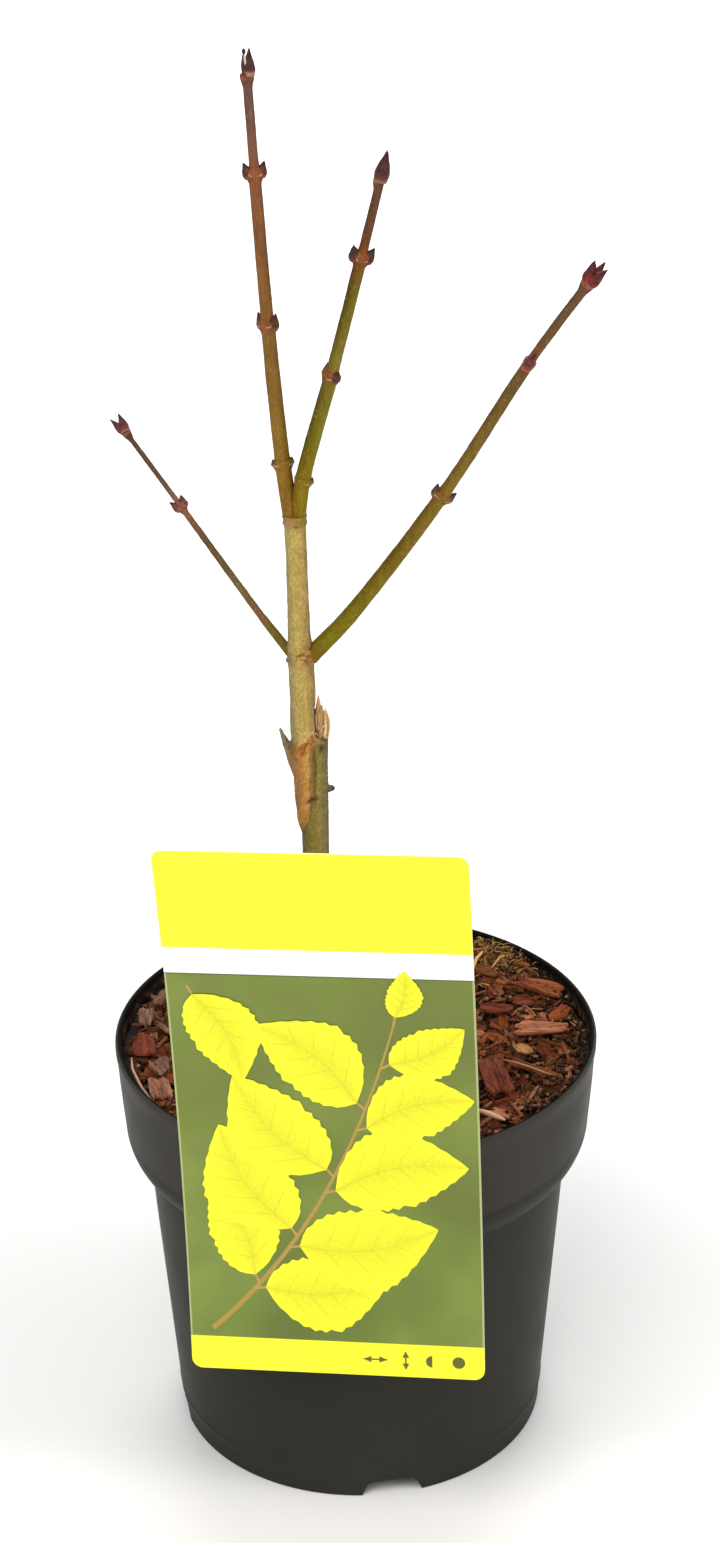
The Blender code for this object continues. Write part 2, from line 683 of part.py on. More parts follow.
def make_card(parts, seat):
    """Thin printed card, curved over its height, with rounded corners."""
    bm = bmesh.new()
    bmesh.ops.create_grid(bm, x_segments=2, y_segments=CARD_ROWS, size=1.0)
    for vert in bm.verts:
        row = round((vert.co.y + 1) / 2 * CARD_ROWS)
        from_end = min(row, CARD_ROWS - row)
        if from_end < CARD_CORNER_ROWS:
            turn = math.pi / 2 * from_end / CARD_CORNER_ROWS
            inset = CARD_CORNER * (1 - math.sin(turn))
            edge = CARD_CORNER * (1 - math.cos(turn))
        else:
            share = (from_end - CARD_CORNER_ROWS) / (CARD_ROWS / 2 - CARD_CORNER_ROWS)
            inset = 0.0
            edge = between(CARD_CORNER, CARD_HEIGHT / 2, share)
        height = edge if row <= CARD_ROWS / 2 else CARD_HEIGHT - edge
        across = vert.co.x * (CARD_WIDTH / 2 - inset)
        vert.co = Vector((across, -card_bow(height), height - CARD_HEIGHT / 2)) * MM
    card = add_object("label_card", mesh_from(bm, "label_card"), parts,
                      make_material("label_print", (0.55, 0.6, 0.12), 0.35))
    shell = card.modifiers.new("thickness", "SOLIDIFY")
    shell.thickness = CARD_THICKNESS * MM
    shell.offset = 0.0
    card.parent = seat
    card.location = Vector((CARD_SHIFT, 0.0, CARD_MIDDLE_HEIGHT)) * MM
    card.rotation_euler = (0, math.radians(-CARD_LEAN), 0)
    return card


def make_hanger(parts, seat):
    """Bent strip on the card's back that hooks over the rim. Its side outline is pulled out to its width."""
    back = -card_bow(CARD_HEIGHT / 2) + CARD_THICKNESS / 2 + CLEAR
    behind = back + HANGER_THICKNESS
    sag = RIM_RADIUS - math.sqrt(RIM_RADIUS ** 2 - (HANGER_WIDTH / 2) ** 2)
    leg = seat_gap() + LIP_THICKNESS + sag + 2 * CLEAR
    over = POT_HEIGHT + CLEAR
    outline = [(back, HANGER_TOP), (behind, HANGER_TOP), (behind, over + HANGER_THICKNESS),
               (leg + HANGER_THICKNESS, over + HANGER_THICKNESS), (leg + HANGER_THICKNESS, HANGER_FOOT),
               (leg, HANGER_FOOT), (leg, over), (back, over)]
    curve = bpy.data.curves.new("label_hanger", "CURVE")
    curve.dimensions = "2D"
    curve.fill_mode = "BOTH"
    curve.extrude = HANGER_WIDTH / 2 * MM
    curve.render_resolution_u = 0
    spline = curve.splines.new("POLY")
    spline.points.add(len(outline) - 1)
    for station, (depth, height) in zip(spline.points, outline):
        station.co = (depth * MM, height * MM, 0.0, 1.0)
    spline.use_cyclic_u = True
    guide = bpy.data.objects.new("label_hanger", curve)
    bpy.context.scene.collection.objects.link(guide)
    mesh = evaluated_mesh(guide)
    bpy.data.objects.remove(guide, do_unlink=True)
    bm = bmesh.new()
    bm.from_mesh(mesh)
    bmesh.ops.remove_doubles(bm, verts=bm.verts, dist=1e-6)
    stand = Matrix(((0, 0, 1, 0), (1, 0, 0, 0), (0, 1, 0, 0), (0, 0, 0, 1)))
    bmesh.ops.transform(bm, matrix=stand, verts=bm.verts)
    hanger = add_object("label_hanger", mesh_from(bm, "label_hanger"), parts,
                        make_material("label_strip", (0.75, 0.75, 0.72), 0.4))
    hanger.parent = seat
    return hanger


def seat_gap():
    """Depth of the rim's outer edge behind the label's seat."""
    return CARD_BOW + CARD_THICKNESS / 2 + CLEAR


def make_label(parts):
    """The card and its hanger turn together to face along CARD_COMPASS from the rim."""
    seat = bpy.data.objects.new("label_seat", None)
    parts.objects.link(seat)
    facing_angle = math.radians(CARD_COMPASS)
    distance = RIM_RADIUS + seat_gap()
    seat.location = Vector((math.cos(facing_angle), math.sin(facing_angle), 0.0)) * distance * MM
    seat.rotation_euler = (0, 0, facing_angle + math.pi / 2)
    make_card(parts, seat)
    make_hanger(parts, seat)


def main():
    clear_scene()
    parts = make_collection("potted_maple")
    cutters = make_collection("cutters")
    make_pot(parts, cutters)
    make_root_ball(parts)
    make_mulch(parts)
    shoots = {name: Shoot(plan) for name, plan in SHOOTS.items()}
    make_trunk(parts, shoots)
    make_boughs(parts, shoots)
    make_label(parts)


main()
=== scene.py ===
"""Looks of the potted maple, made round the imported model: bark, buds, mulch, pot, card and a white studio.

Lengths here are millimetres and become metres as each mesh is made. +Z is up and the plant is seen from -Y.
"""

import math
import random

import bmesh
import bpy
import numpy as np
from mathutils import Matrix, Vector, noise


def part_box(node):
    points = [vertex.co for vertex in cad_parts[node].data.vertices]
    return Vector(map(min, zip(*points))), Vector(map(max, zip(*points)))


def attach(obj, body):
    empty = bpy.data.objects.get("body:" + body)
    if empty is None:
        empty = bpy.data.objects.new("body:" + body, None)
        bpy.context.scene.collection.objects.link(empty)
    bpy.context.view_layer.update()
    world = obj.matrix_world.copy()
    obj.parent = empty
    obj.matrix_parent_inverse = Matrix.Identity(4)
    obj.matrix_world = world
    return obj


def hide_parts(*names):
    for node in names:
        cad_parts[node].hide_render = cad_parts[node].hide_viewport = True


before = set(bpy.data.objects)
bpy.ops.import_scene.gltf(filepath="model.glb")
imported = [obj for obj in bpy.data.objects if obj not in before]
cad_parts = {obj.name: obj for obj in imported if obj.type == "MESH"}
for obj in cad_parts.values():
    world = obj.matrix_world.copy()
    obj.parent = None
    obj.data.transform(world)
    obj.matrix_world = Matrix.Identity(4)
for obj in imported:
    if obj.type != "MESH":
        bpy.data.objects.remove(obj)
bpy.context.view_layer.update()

MM = 0.001
POT_HIGH = np.array(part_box("pot")[1]) / MM
TRUNK_LOW = np.array(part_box("trunk")[0]) / MM

# What each random draw starts from
SEEDS = {"buds": 5, "fibres": 23, "slivers": 41, "flakes": 17, "crumbs": 77, "strands": 9, "print": 3}

# Camera of the photograph
CAMERA_PLACE = (3.0, -1026.5, 775.5)
CAMERA_PITCH = 0.4465
CAMERA_ROLL = -0.013
CAMERA_LENS = 70.0

# Pot
RIM_RADIUS = POT_HIGH[0]
POT_HEIGHT = POT_HIGH[2]
WALL = 1.5
LIP_THICKNESS = 2.2
LIP_DEPTH = 6.0
COLLAR_FOOT = (92.3, 136.0)
SHOULDER = (83.5, 119.3)
SHOULDER_CURVE = 2.2
FOOT_RADIUS = 74.2
FOOT_BEAD_HEIGHT = 10.8
FOOT_BEAD = 0.3
CHANNEL_HEIGHT = 7.2
CHANNEL_INNER_RADIUS = 46.0
CHANNEL_SLOPE = 4.0
FOOT_RING_WIDTH = 2.4
NOTCH_COUNT = 4
NOTCH_COMPASS = -80.5
NOTCH_WIDTHS = (24.6, 18.4)
DRAIN_COUNT = 8
DRAIN_RADIUS = 4.0
DRAIN_CIRCLE = 60.0
POT_STEPS = 180
POT_CREASE = 38
# Radii and heights between which the pot's finish changes: its darker inside, specked with soil near the
# mulch, and the inner brink of its lip, painted dark as shade
INSIDE_REACH = (92.4, 93.6)
INSIDE_LEVEL = (157.0, 160.0)
SOIL_LEVEL = (165.5, 170.0)
SHADED_BRINK_REACH = (93.9, 94.3)
SHADED_BRINK_LEVEL = (167.6, 168.6)

# Mulch
MULCH_LEVEL = 162.0
MULCH_TOP = 169.5
TRUNK_FOOT = np.array((-12.8, 0.0))
HEAP = (58.0, 66.0, 26.0, 5.0)
# How high the bed banks up against the wall, and the radii between which it does
BANK = (2.6, 72.0, 92.0)
CARD_SIDE = math.radians(-98.0)
# Left of this the flakes are darker, as painted shade: a tone's place in the list and the one that mostly
# takes its place
PAINTED_SHADE_SIDE = -56.0
DARKER = {0: 6, 3: 7, 5: 1, 8: 7}
# Large shards that show from the front, as (one end, other end, width, height, tone's place in the list)
SHARDS = [((66, 42), (84, 31), 8.5, 167.8, 0), ((62, 4), (87, 4), 8.5, 168.4, 3),
          ((51, -16), (56, -47), 10.0, 167.8, 6), ((58, -21), (79, -34), 4.5, 168.8, 1),
          ((63, -8), (67, -17), 5.0, 168.4, 4), ((-84, 3), (-83, -13), 9.5, 168.0, 6),
          ((-78, -17), (-74, -28), 8.0, 168.2, 7), ((-77, -31), (-74, -46), 9.0, 168.0, 8),
          ((46, 54), (60, 46), 6.5, 168.6, 1), ((50, 22), (64, 18), 6.5, 168.2, 6),
          ((-66, 22), (-62, 36), 6.0, 168.2, 1), ((-84, 9), (-84, 22), 6.5, 168.8, 7),
          ((-80, 24), (-75, 38), 5.5, 169.0, 7)]
# Strewn flakes, as (count, lengths, thickness over width, tilt, rise over the bed, sides, rings, places of
# their tones in the list, width over length)
SLIVERS = [(2100, (2.5, 8.0), (0.25, 0.5), 30, (-1.0, 3.8), 8, 0, [0, 1, 1, 2, 2, 2, 3, 5, 6, 7],
            (0.22, 0.58))]
FLAKES = [(640, (6.0, 14.0), (0.2, 0.42), 24, (0.0, 3.8), 15, 1, [0, 1, 1, 1, 2, 2, 3, 5, 6, 6],
           (0.22, 0.58)),
          (110, (12.0, 21.0), (0.16, 0.3), 18, (1.0, 3.8), 22, 2, [0, 1, 1, 2, 3, 6, 7], (0.22, 0.58)),
          (420, (5.0, 15.0), (0.4, 0.8), 16, (2.0, 4.6), 9, 0, [0, 3, 5, 1, 8, 4, 0, 7], (0.07, 0.15))]
CRUMB_COUNT = 2600
MOSS_COUNT = 900
# Millimetres that the flakes' grain coordinates span
GRAIN_ROOM = 200.0
# Tones of the flakes and of the crumbs, as (light fibres, dark fibres)
BARK_TONES = {"red": ((150, 84, 50), (80, 38, 19)), "brown": ((122, 70, 38), (58, 32, 16)),
              "dark": ((84, 50, 28), (36, 22, 12)), "pink": ((182, 120, 86), (112, 62, 38)),
              "tan": ((182, 136, 80), (112, 74, 38)), "rust": ((146, 74, 34), (82, 38, 16)),
              "dull": ((124, 60, 38), (70, 32, 19)), "grey": ((134, 98, 78), (72, 48, 36)),
              "pale": ((158, 108, 84), (94, 58, 42))}
CRUMB_TONES = {"dark": ((58, 42, 32), (28, 19, 14)), "brown": ((96, 66, 46), (50, 32, 22)),
               "pale": ((150, 118, 84), (98, 70, 46))}
MOSS_TONES = [(150, 104, 38), (116, 82, 30), (184, 138, 68), (76, 54, 24), (66, 46, 22)]
# Straws and splinters, as (line, width, tone)
STRAWS = [([(-88.0, -14.0, 167.6), (-87.0, -24.0, 168.6), (-83.0, -36.0, 168.0), (-77.0, -47.0, 166.6)], 0.6,
           (176, 134, 108)),
          ([(46.5, -56.1, 168.0), (51.0, -60.4, 168.6), (56.0, -63.4, 168.0)], 1.0, (216, 170, 134)),
          ([(57.5, -21.5, 169.2), (66.0, -27.0, 169.6), (76.0, -33.5, 169.0)], 0.5, (170, 112, 78)),
          ([(-20.0, 70.0, 167.6), (-6.0, 76.0, 168.4), (8.0, 74.0, 167.4)], 0.7, (196, 150, 112)),
          ([(20.0, 30.0, 168.0), (30.0, 38.0, 168.6), (41.0, 40.0, 167.4)], 0.55, (170, 124, 84)),
          ([(-60.0, 30.0, 168.0), (-50.0, 42.0, 168.8), (-46.0, 52.0, 167.4)], 0.6, (182, 138, 104)),
          ([(48.0, 48.0, 169.6), (50.0, 56.0, 171.0), (54.5, 66.0, 170.4)], 0.7, (206, 160, 92)),
          ([(56.0, 50.0, 170.0), (60.0, 57.0, 171.2), (66.0, 60.0, 170.4)], 0.5, (196, 142, 70)),
          ([(51.0, 66.0, 170.2), (58.0, 64.0, 171.4), (64.0, 66.0, 170.4)], 0.5, (178, 128, 62))]

# Trunk lines are points that climb, and sizes are (height, radius)
GROUND = TRUNK_LOW[2]
STUB_TOP = 309.0
ROOTSTOCK_LINE = [(-12.8, 0.0, 160.0), (-13.6, 0.2, 205.0), (-14.4, 0.4, 250.0), (-14.1, 1.2, 285.0),
                  (-13.5, 1.8, 300.0), (-12.2, 1.6, 312.0)]
ROOTSTOCK_SIZES = [(160.0, 9.6), (164.0, 8.4), (168.0, 7.1), (178.0, 5.7), (205.0, 5.5), (250.0, 5.2),
                   (285.0, 4.9), (300.0, 4.7), (304.5, 4.2), (307.0, 3.2), (STUB_TOP, 2.2)]
ROOT_LINE = [(2.0, 8.0), (7.0, 3.0), (11.0, 0.4), (14.5, -2.0)]
ROOT_RADII = [3.2, 2.7, 1.9, 1.1]
FLARE_ROOTS = 4
FLARE_COMPASS = 35.0
FLARE_UNEVEN = 12.0
SCION_LINE = [(-18.2, -1.2, 259.0), (-18.3, -1.8, 275.0), (-18.0, -2.0, 300.0), (-18.1, -1.6, 320.0),
              (-18.9, -0.6, 342.0), (-19.1, 0.0, 362.0), (-19.6, 0.0, 388.0)]
SCION_SIZES = [(259.0, 1.3), (265.0, 2.9), (275.0, 3.6), (288.0, 4.1), (300.0, 4.9), (318.0, 4.9),
               (326.0, 4.9), (333.0, 5.0), (341.0, 4.25), (352.0, 4.0), (370.0, 3.95), (382.0, 3.95)]
COLLAR_RIDGES = [(385.2, 0.75, 0.9), (387.9, 0.95, 1.1)]
CALLUS_LINE = [(-17.4, -3.6, 303.0), (-17.2, -4.4, 297.0), (-17.9, -4.9, 286.0), (-18.3, -4.2, 272.0),
               (-18.4, -2.6, 263.0)]
CALLUS_RADII = [1.0, 2.5, 2.5, 2.3, 1.0]
SPUR_LINE = [(-19.8, -2.0, 283.0), (-22.6, -2.4, 291.0), (-24.6, -2.6, 297.5), (-26.9, -2.6, 303.8)]
SPUR_RADII = [2.1, 1.9, 1.5, 0.55]
NUB = (-8.9, -1.0, 277.6)
BUMP = (-22.9, -2.6, 331.6)
# The stub's long torn fibres as (foot, tip, width), and how many short ones and frays there are
TALL_FIBRES = [((-12.7, -1.0, 299.0), (-12.2, -1.3, 316.6), 1.5),
               ((-11.5, -1.5, 299.0), (-11.0, -1.8, 312.8), 1.6),
               ((-10.1, -0.9, 299.0), (-9.8, -1.2, 310.2), 1.5),
               ((-9.5, 0.8, 300.0), (-9.4, 0.6, 308.6), 1.4),
               ((-11.4, 1.6, 300.0), (-11.6, 1.8, 311.2), 1.6),
               ((-13.0, 1.4, 300.0), (-13.1, 1.5, 309.0), 1.2),
               ((-12.2, 0.2, 302.0), (-11.9, 0.0, 314.6), 1.3)]
SHORT_FIBRES = 34
FRAYS = 30
# Size of the cells that the trunk's skin is grown from, and how often it is smoothed
BARK_VOXEL = 0.36
BARK_PASSES = 3

# Height at which the leader and the second shoot part
CROTCH = 405.0
# Limb surface: spacing and sides of its points, its joints, leaf cushions, leaf scars and rings, and its buds
LIMB_STEP = 0.42
LIMB_SIDES = 32
JOINT_SWELL = 0.10
JOINT_REACH = 1.7
CUSHION_LENGTH = 1.2
CUSHION_HEIGHT = 0.5
TIP_CUSHION = 0.6
SCAR_WIDTH = 0.09
RING_OFFSETS = (0.5, 1.15)
RING_DEPTH = 0.09
RING_WIDTH = 0.2
BUD_SUNK = 0.25
TIP_APART = 0.24
TIP_RISE = 0.12
SIDE_DROP = 0.3
BUD_PLUMP = 1.22
BUD_DARKER = 0.72
BUD_BRIGHTER = 1.06

# Card
CARD_WIDTH = 111.5
CARD_HEIGHT = 220.0
CARD_THICKNESS = 0.6
CARD_CORNER = 4.0
CARD_BOW = 8.0
CARD_LEAN = math.radians(1.85)
CARD_SHIFT = 2.65
CARD_MIDDLE = 192.0
FOOTER_TOP = 13.5
FIELD_TOP = 168.0
STRIP_TOP = 179.0


def srgb(red, green, blue):
    """Linear colour of a screen colour from 0 to 255."""
    share = np.array((red, green, blue)) / 255
    return np.where(share > 0.04045, ((share + 0.055) / 1.055) ** 2.4, share / 12.92)


def between(low, high, share):
    return low + (high - low) * share


def ease(low, high, value):
    """0 below low and 1 above high, smooth between them."""
    share = np.clip((value - low) / (high - low), 0, 1)
    return share * share * (3 - 2 * share)


def hump(value, middle, width):
    return np.exp(-((value - middle) / width) ** 2)


def rough(points, size, shift=0.0):
    """Smooth noise from -1 to 1 at points, with lumps about size across."""
    return np.array([noise.noise(point) for point in (points / np.array(size) + shift).tolist()])


def unit(vector):
    return vector / np.linalg.norm(vector, axis=-1, keepdims=True)


def round_turns(count):
    """Angles spread evenly round a circle."""
    return np.linspace(0, 2 * math.pi, count, endpoint=False)


def bands(value, stops):
    """Colour across a value, from stops of (value, screen colour)."""
    places = [place for place, _ in stops]
    colours = np.array([srgb(*colour) for _, colour in stops])
    return np.stack([np.interp(value, places, colours[:, channel]) for channel in range(3)], -1)


def stain(tint, colour, share):
    """The tint turned by a share towards a screen colour, or towards an array of linear colours."""
    colour = srgb(*colour) if isinstance(colour, tuple) else colour
    return between(tint, colour, np.asarray(share)[..., None])


class Shape:
    """Points and faces gathered into one mesh, with a tint at each point and a material for each face."""

    def __init__(self):
        self.points = []
        self.tints = []
        self.faces = []
        self.slots = []
        self.count = 0

    def add(self, points, faces, tint=(1.0, 1.0, 1.0), slot=0):
        self.points.append(np.asarray(points, float))
        self.tints.append(np.broadcast_to(tint, (len(points), 3)))
        self.faces += [[corner + self.count for corner in face] for face in faces]
        self.slots += [slot] * len(faces)
        self.count += len(points)

    def build(self, name, materials, smooth=True, crease=None):
        mesh = bpy.data.meshes.new(name)
        mesh.from_pydata((np.concatenate(self.points) * MM).tolist(), [], self.faces)
        paint(mesh, np.concatenate(self.tints))
        for material in materials:
            mesh.materials.append(material)
        mesh.polygons.foreach_set("material_index", self.slots)
        if smooth:
            mesh.shade_smooth()
        if crease:
            mesh.set_sharp_from_angle(angle=math.radians(crease))
        return add_object(name, mesh)


def paint(mesh, tints):
    """Keeps a colour for each point in the mesh's tint attribute."""
    layer = mesh.color_attributes.new("tint", "FLOAT_COLOR", "POINT")
    values = np.ones((len(tints), 4))
    values[:, :3] = np.clip(tints, 0, 1)
    layer.data.foreach_set("color", values.ravel())


def add_object(name, data):
    item = bpy.data.objects.new(name, data)
    bpy.context.scene.collection.objects.link(item)
    return item


def coat(mesh, material):
    """Gives the whole mesh one material."""
    mesh.materials.clear()
    mesh.materials.append(material)


def mesh_of(bm, name):
    """A mesh with what bm holds, which is freed."""
    mesh = bpy.data.meshes.new(name)
    bm.to_mesh(mesh)
    bm.free()
    return mesh


def read(points, key):
    """A row of three numbers for each point of a mesh."""
    values = np.zeros(len(points) * 3)
    points.foreach_get(key, values)
    return values.reshape(-1, 3)


def dress(item, slot, *nodes):
    """The piece rides with the part and stands for the nodes; slot is not used."""
    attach(item, "root")
    if nodes:
        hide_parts(*nodes)
    return item


def evaluated(item):
    """A mesh of the object with its modifiers applied, and the object removed."""
    depsgraph = bpy.context.evaluated_depsgraph_get()
    mesh = bpy.data.meshes.new_from_object(item.evaluated_get(depsgraph))
    bpy.data.objects.remove(item, do_unlink=True)
    return mesh


def in_order(mesh):
    """The same mesh with its points and faces sorted by place, because a cut numbers them anew each time."""
    points = read(mesh.vertices, "co")
    order = np.lexsort(np.round(points / MM, 4).T)
    place = np.empty(len(order), int)
    place[order] = np.arange(len(order))
    faces = []
    for face in mesh.polygons:
        ring = [int(place[corner]) for corner in face.vertices]
        first = ring.index(min(ring))
        faces.append(ring[first:] + ring[:first])
    settled = bpy.data.meshes.new(mesh.name)
    settled.from_pydata(points[order].tolist(), [], sorted(faces))
    bpy.data.meshes.remove(mesh)
    return settled


def grid_faces(rows, columns, closed=False):
    """Quads between rows of points, with each row's last point joined to its first where closed."""
    wide = columns if closed else columns - 1
    return [(i * columns + j, i * columns + (j + 1) % columns, (i + 1) * columns + (j + 1) % columns,
             (i + 1) * columns + j) for i in range(rows - 1) for j in range(wide)]


def tube_faces(rows, sides):
    """Faces of a closed tube: its wall and both its ends."""
    ends = [tuple(reversed(range(sides))), tuple(range((rows - 1) * sides, rows * sides))]
    return grid_faces(rows, sides, closed=True) + ends


def edge_faces(rows, columns, size):
    """Quads round a grid's border that join it to a like grid, whose points come size later."""
    ring = list(range(columns)) + [(i + 1) * columns - 1 for i in range(1, rows)]
    ring += [(rows - 1) * columns + j for j in range(columns - 2, -1, -1)]
    ring += [i * columns for i in range(rows - 2, 0, -1)]
    return [(b, a, a + size, b + size) for a, b in zip(ring, ring[1:] + ring[:1])]


def frames_along(points):
    """Side and up at each point of a line, with the side turned as little as possible."""
    points = np.asarray(points, float)
    directions = unit(np.gradient(points, axis=0))
    side = np.cross(directions[0], (0.0, 1.0, 0.0))
    if np.linalg.norm(side) < 0.1:
        side = np.cross(directions[0], (1.0, 0.0, 0.0))
    sides = []
    for direction in directions:
        side = side - direction * np.dot(side, direction)
        side = side / np.linalg.norm(side)
        sides.append(side)
    return np.array(sides), np.cross(directions, sides)


def tube(shape, points, radii, sides, tint=(1.0, 1.0, 1.0)):
    """A closed round tube through points with a radius at each."""
    points = np.asarray(points, float)
    side, up = frames_along(points)
    angles = round_turns(sides)
    around = side[:, None] * np.cos(angles)[:, None] + up[:, None] * np.sin(angles)[:, None]
    wall = (points[:, None] + around * np.asarray(radii)[:, None, None]).reshape(-1, 3)
    shape.add(wall, tube_faces(len(points), sides), tint)


# Materials

def new_material(name, roughness, specular=0.5):
    """A material with its node tree and its Principled shader."""
    material = bpy.data.materials.new(name)
    material.use_nodes = True
    shader = material.node_tree.nodes["Principled BSDF"]
    shader.inputs["Roughness"].default_value = roughness
    shader.inputs["Specular IOR Level"].default_value = specular
    return material, material.node_tree, shader


def node(tree, kind, values=None, **settings):
    """A node with its settings, whose inputs are plain values or other nodes' outputs."""
    made = tree.nodes.new("ShaderNode" + kind)
    for key, value in settings.items():
        setattr(made, key, value)
    for key, value in (values or {}).items():
        if isinstance(value, bpy.types.NodeSocket):
            tree.links.new(value, made.inputs[key])
        else:
            made.inputs[key].default_value = value
    return made


def own_place(tree, scale=(1.0, 1.0, 1.0)):
    """The object's own coordinates in millimetres, times scale."""
    source = node(tree, "TexCoord").outputs["Object"]
    grown = node(tree, "Mapping", {"Vector": source, "Scale": tuple(1000.0 * s for s in scale)})
    return grown.outputs["Vector"]


def own_axis(tree, axis):
    """The object's own coordinate along one axis in millimetres."""
    return node(tree, "SeparateXYZ", {"Vector": own_place(tree)}).outputs[axis]


def speckle(tree, place, size, detail=3.0, rough_share=0.6):
    """Noise from 0 to 1 with grains about size millimetres."""
    made = node(tree, "TexNoise", {"Vector": place, "Scale": 1.0 / size, "Detail": detail,
                                   "Roughness": rough_share})
    return made.outputs["Fac"]


def climb(tree, value, low, high, start=0.0, end=1.0, **settings):
    """A share that runs from start to end as a value runs from low to high."""
    made = node(tree, "MapRange", {"Value": value, "From Min": low, "From Max": high, "To Min": start,
                                   "To Max": end}, **settings)
    return made.outputs["Result"]


def reckon(tree, operation, first, second):
    """A sum, product or the like of two values."""
    return node(tree, "Math", {0: first, 1: second}, operation=operation).outputs["Value"]


def ramp(tree, share, stops):
    """Colour or grey by a share: stops are (place, grey or linear colour)."""
    made = node(tree, "ValToRGB", {"Fac": share})
    ends = made.color_ramp.elements
    while len(ends) < len(stops):
        ends.new(0.5)
    for end, (place, colour) in zip(ends, stops):
        end.position = place
        colour = (colour,) * 3 if np.isscalar(colour) else tuple(colour)
        end.color = (*colour, 1.0)
    return made.outputs["Color"]


def mix(tree, share, low, high, blend="MIX"):
    made = node(tree, "Mix", data_type="RGBA", blend_type=blend)
    for key, value in ((0, share), (6, low), (7, high)):
        if isinstance(value, bpy.types.NodeSocket):
            tree.links.new(value, made.inputs[key])
        elif key == 0:
            made.inputs[key].default_value = value
        else:
            made.inputs[key].default_value = (*value, 1.0)
    return made.outputs[2]


def graded(tree, colour, *layers):
    """The colour times a grey for each layer of (share, stops)."""
    for share, stops in layers:
        colour = mix(tree, 1.0, colour, ramp(tree, share, stops), "MULTIPLY")
    return colour


def cover(shader, colour, roughness=None):
    """Gives the shader its colour, and its roughness where that varies."""
    shader.id_data.links.new(colour, shader.inputs["Base Color"])
    if roughness:
        shader.id_data.links.new(roughness, shader.inputs["Roughness"])


def relief(shader, height, strength, distance):
    """Bump from a height of 0 to 1 that is distance millimetres deep."""
    tree = shader.id_data
    made = node(tree, "Bump", {"Height": height, "Strength": strength, "Distance": distance * MM})
    tree.links.new(made.outputs["Normal"], shader.inputs["Normal"])


def tint_of(tree):
    return node(tree, "Attribute", attribute_name="tint").outputs["Color"]


def bark_material():
    """Shoot bark: the tint with fine streaks along it and a satin skin."""
    material, tree, shader = new_material("shoot_bark", 0.5, 0.08)
    place = own_place(tree, (1.0, 1.0, 0.22))
    fine = speckle(tree, place, 0.55)
    coarse = speckle(tree, place, 2.4, 2.0)
    colour = graded(tree, tint_of(tree), (fine, [(0.25, 0.70), (0.75, 1.18)]),
                    (coarse, [(0.3, 0.84), (0.7, 1.10)]))
    cover(shader, colour, ramp(tree, fine, [(0.2, 0.42), (0.8, 0.62)]))
    relief(shader, fine, 0.5, 0.12)
    return material


def trunk_material():
    """Older bark: dull, with dark pores and short cracks."""
    material, tree, shader = new_material("trunk_bark", 0.7, 0.2)
    fine = speckle(tree, own_place(tree, (1.0, 1.0, 0.45)), 0.5, 4.0, 0.65)
    coarse = speckle(tree, own_place(tree, (1.0, 1.0, 0.3)), 3.0, 3.0)
    pores = node(tree, "TexVoronoi", {"Vector": own_place(tree, (1.0, 1.0, 0.6)), "Scale": 0.8})
    colour = graded(tree, tint_of(tree), (fine, [(0.28, 0.62), (0.5, 0.98), (0.75, 1.2)]),
                    (coarse, [(0.3, 0.86), (0.7, 1.10)]))
    dotted = graded(tree, colour, (pores.outputs["Distance"], [(0.10, 0.55), (0.2, 1.0)]))
    cover(shader, mix(tree, 0.7, colour, dotted), ramp(tree, fine, [(0.2, 0.6), (0.8, 0.85)]))
    relief(shader, fine, 0.7, 0.2)
    return material


def bud_material():
    """Waxy bud scales."""
    material, tree, shader = new_material("bud_scales", 0.45, 0.22)
    fine = speckle(tree, own_place(tree, (1.0, 1.0, 0.4)), 0.35)
    colour = graded(tree, tint_of(tree), (fine, [(0.3, 0.72), (0.7, 1.2)]))
    cover(shader, colour, ramp(tree, fine, [(0.2, 0.38), (0.8, 0.6)]))
    relief(shader, fine, 0.35, 0.06)
    return material


def flake_materials(kind, tones, roughness):
    """One material for each tone: fibres of a light and a dark colour along the flake."""
    made = []
    for name, (colour, dark) in tones.items():
        material, tree, shader = new_material(f"{kind}_{name}", roughness, 0.06)
        scale = (0.14 * GRAIN_ROOM, GRAIN_ROOM, GRAIN_ROOM)
        grain = node(tree, "Mapping", {"Vector": tint_of(tree), "Scale": scale}).outputs["Vector"]
        fibre = speckle(tree, grain, 1.3, 5.0, 0.7)
        cover(shader, mix(tree, ramp(tree, fibre, [(0.38, 0.0), (0.60, 1.0)]), srgb(*dark), srgb(*colour)))
        relief(shader, fibre, 1.0, 0.6)
        made.append(material)
    return made


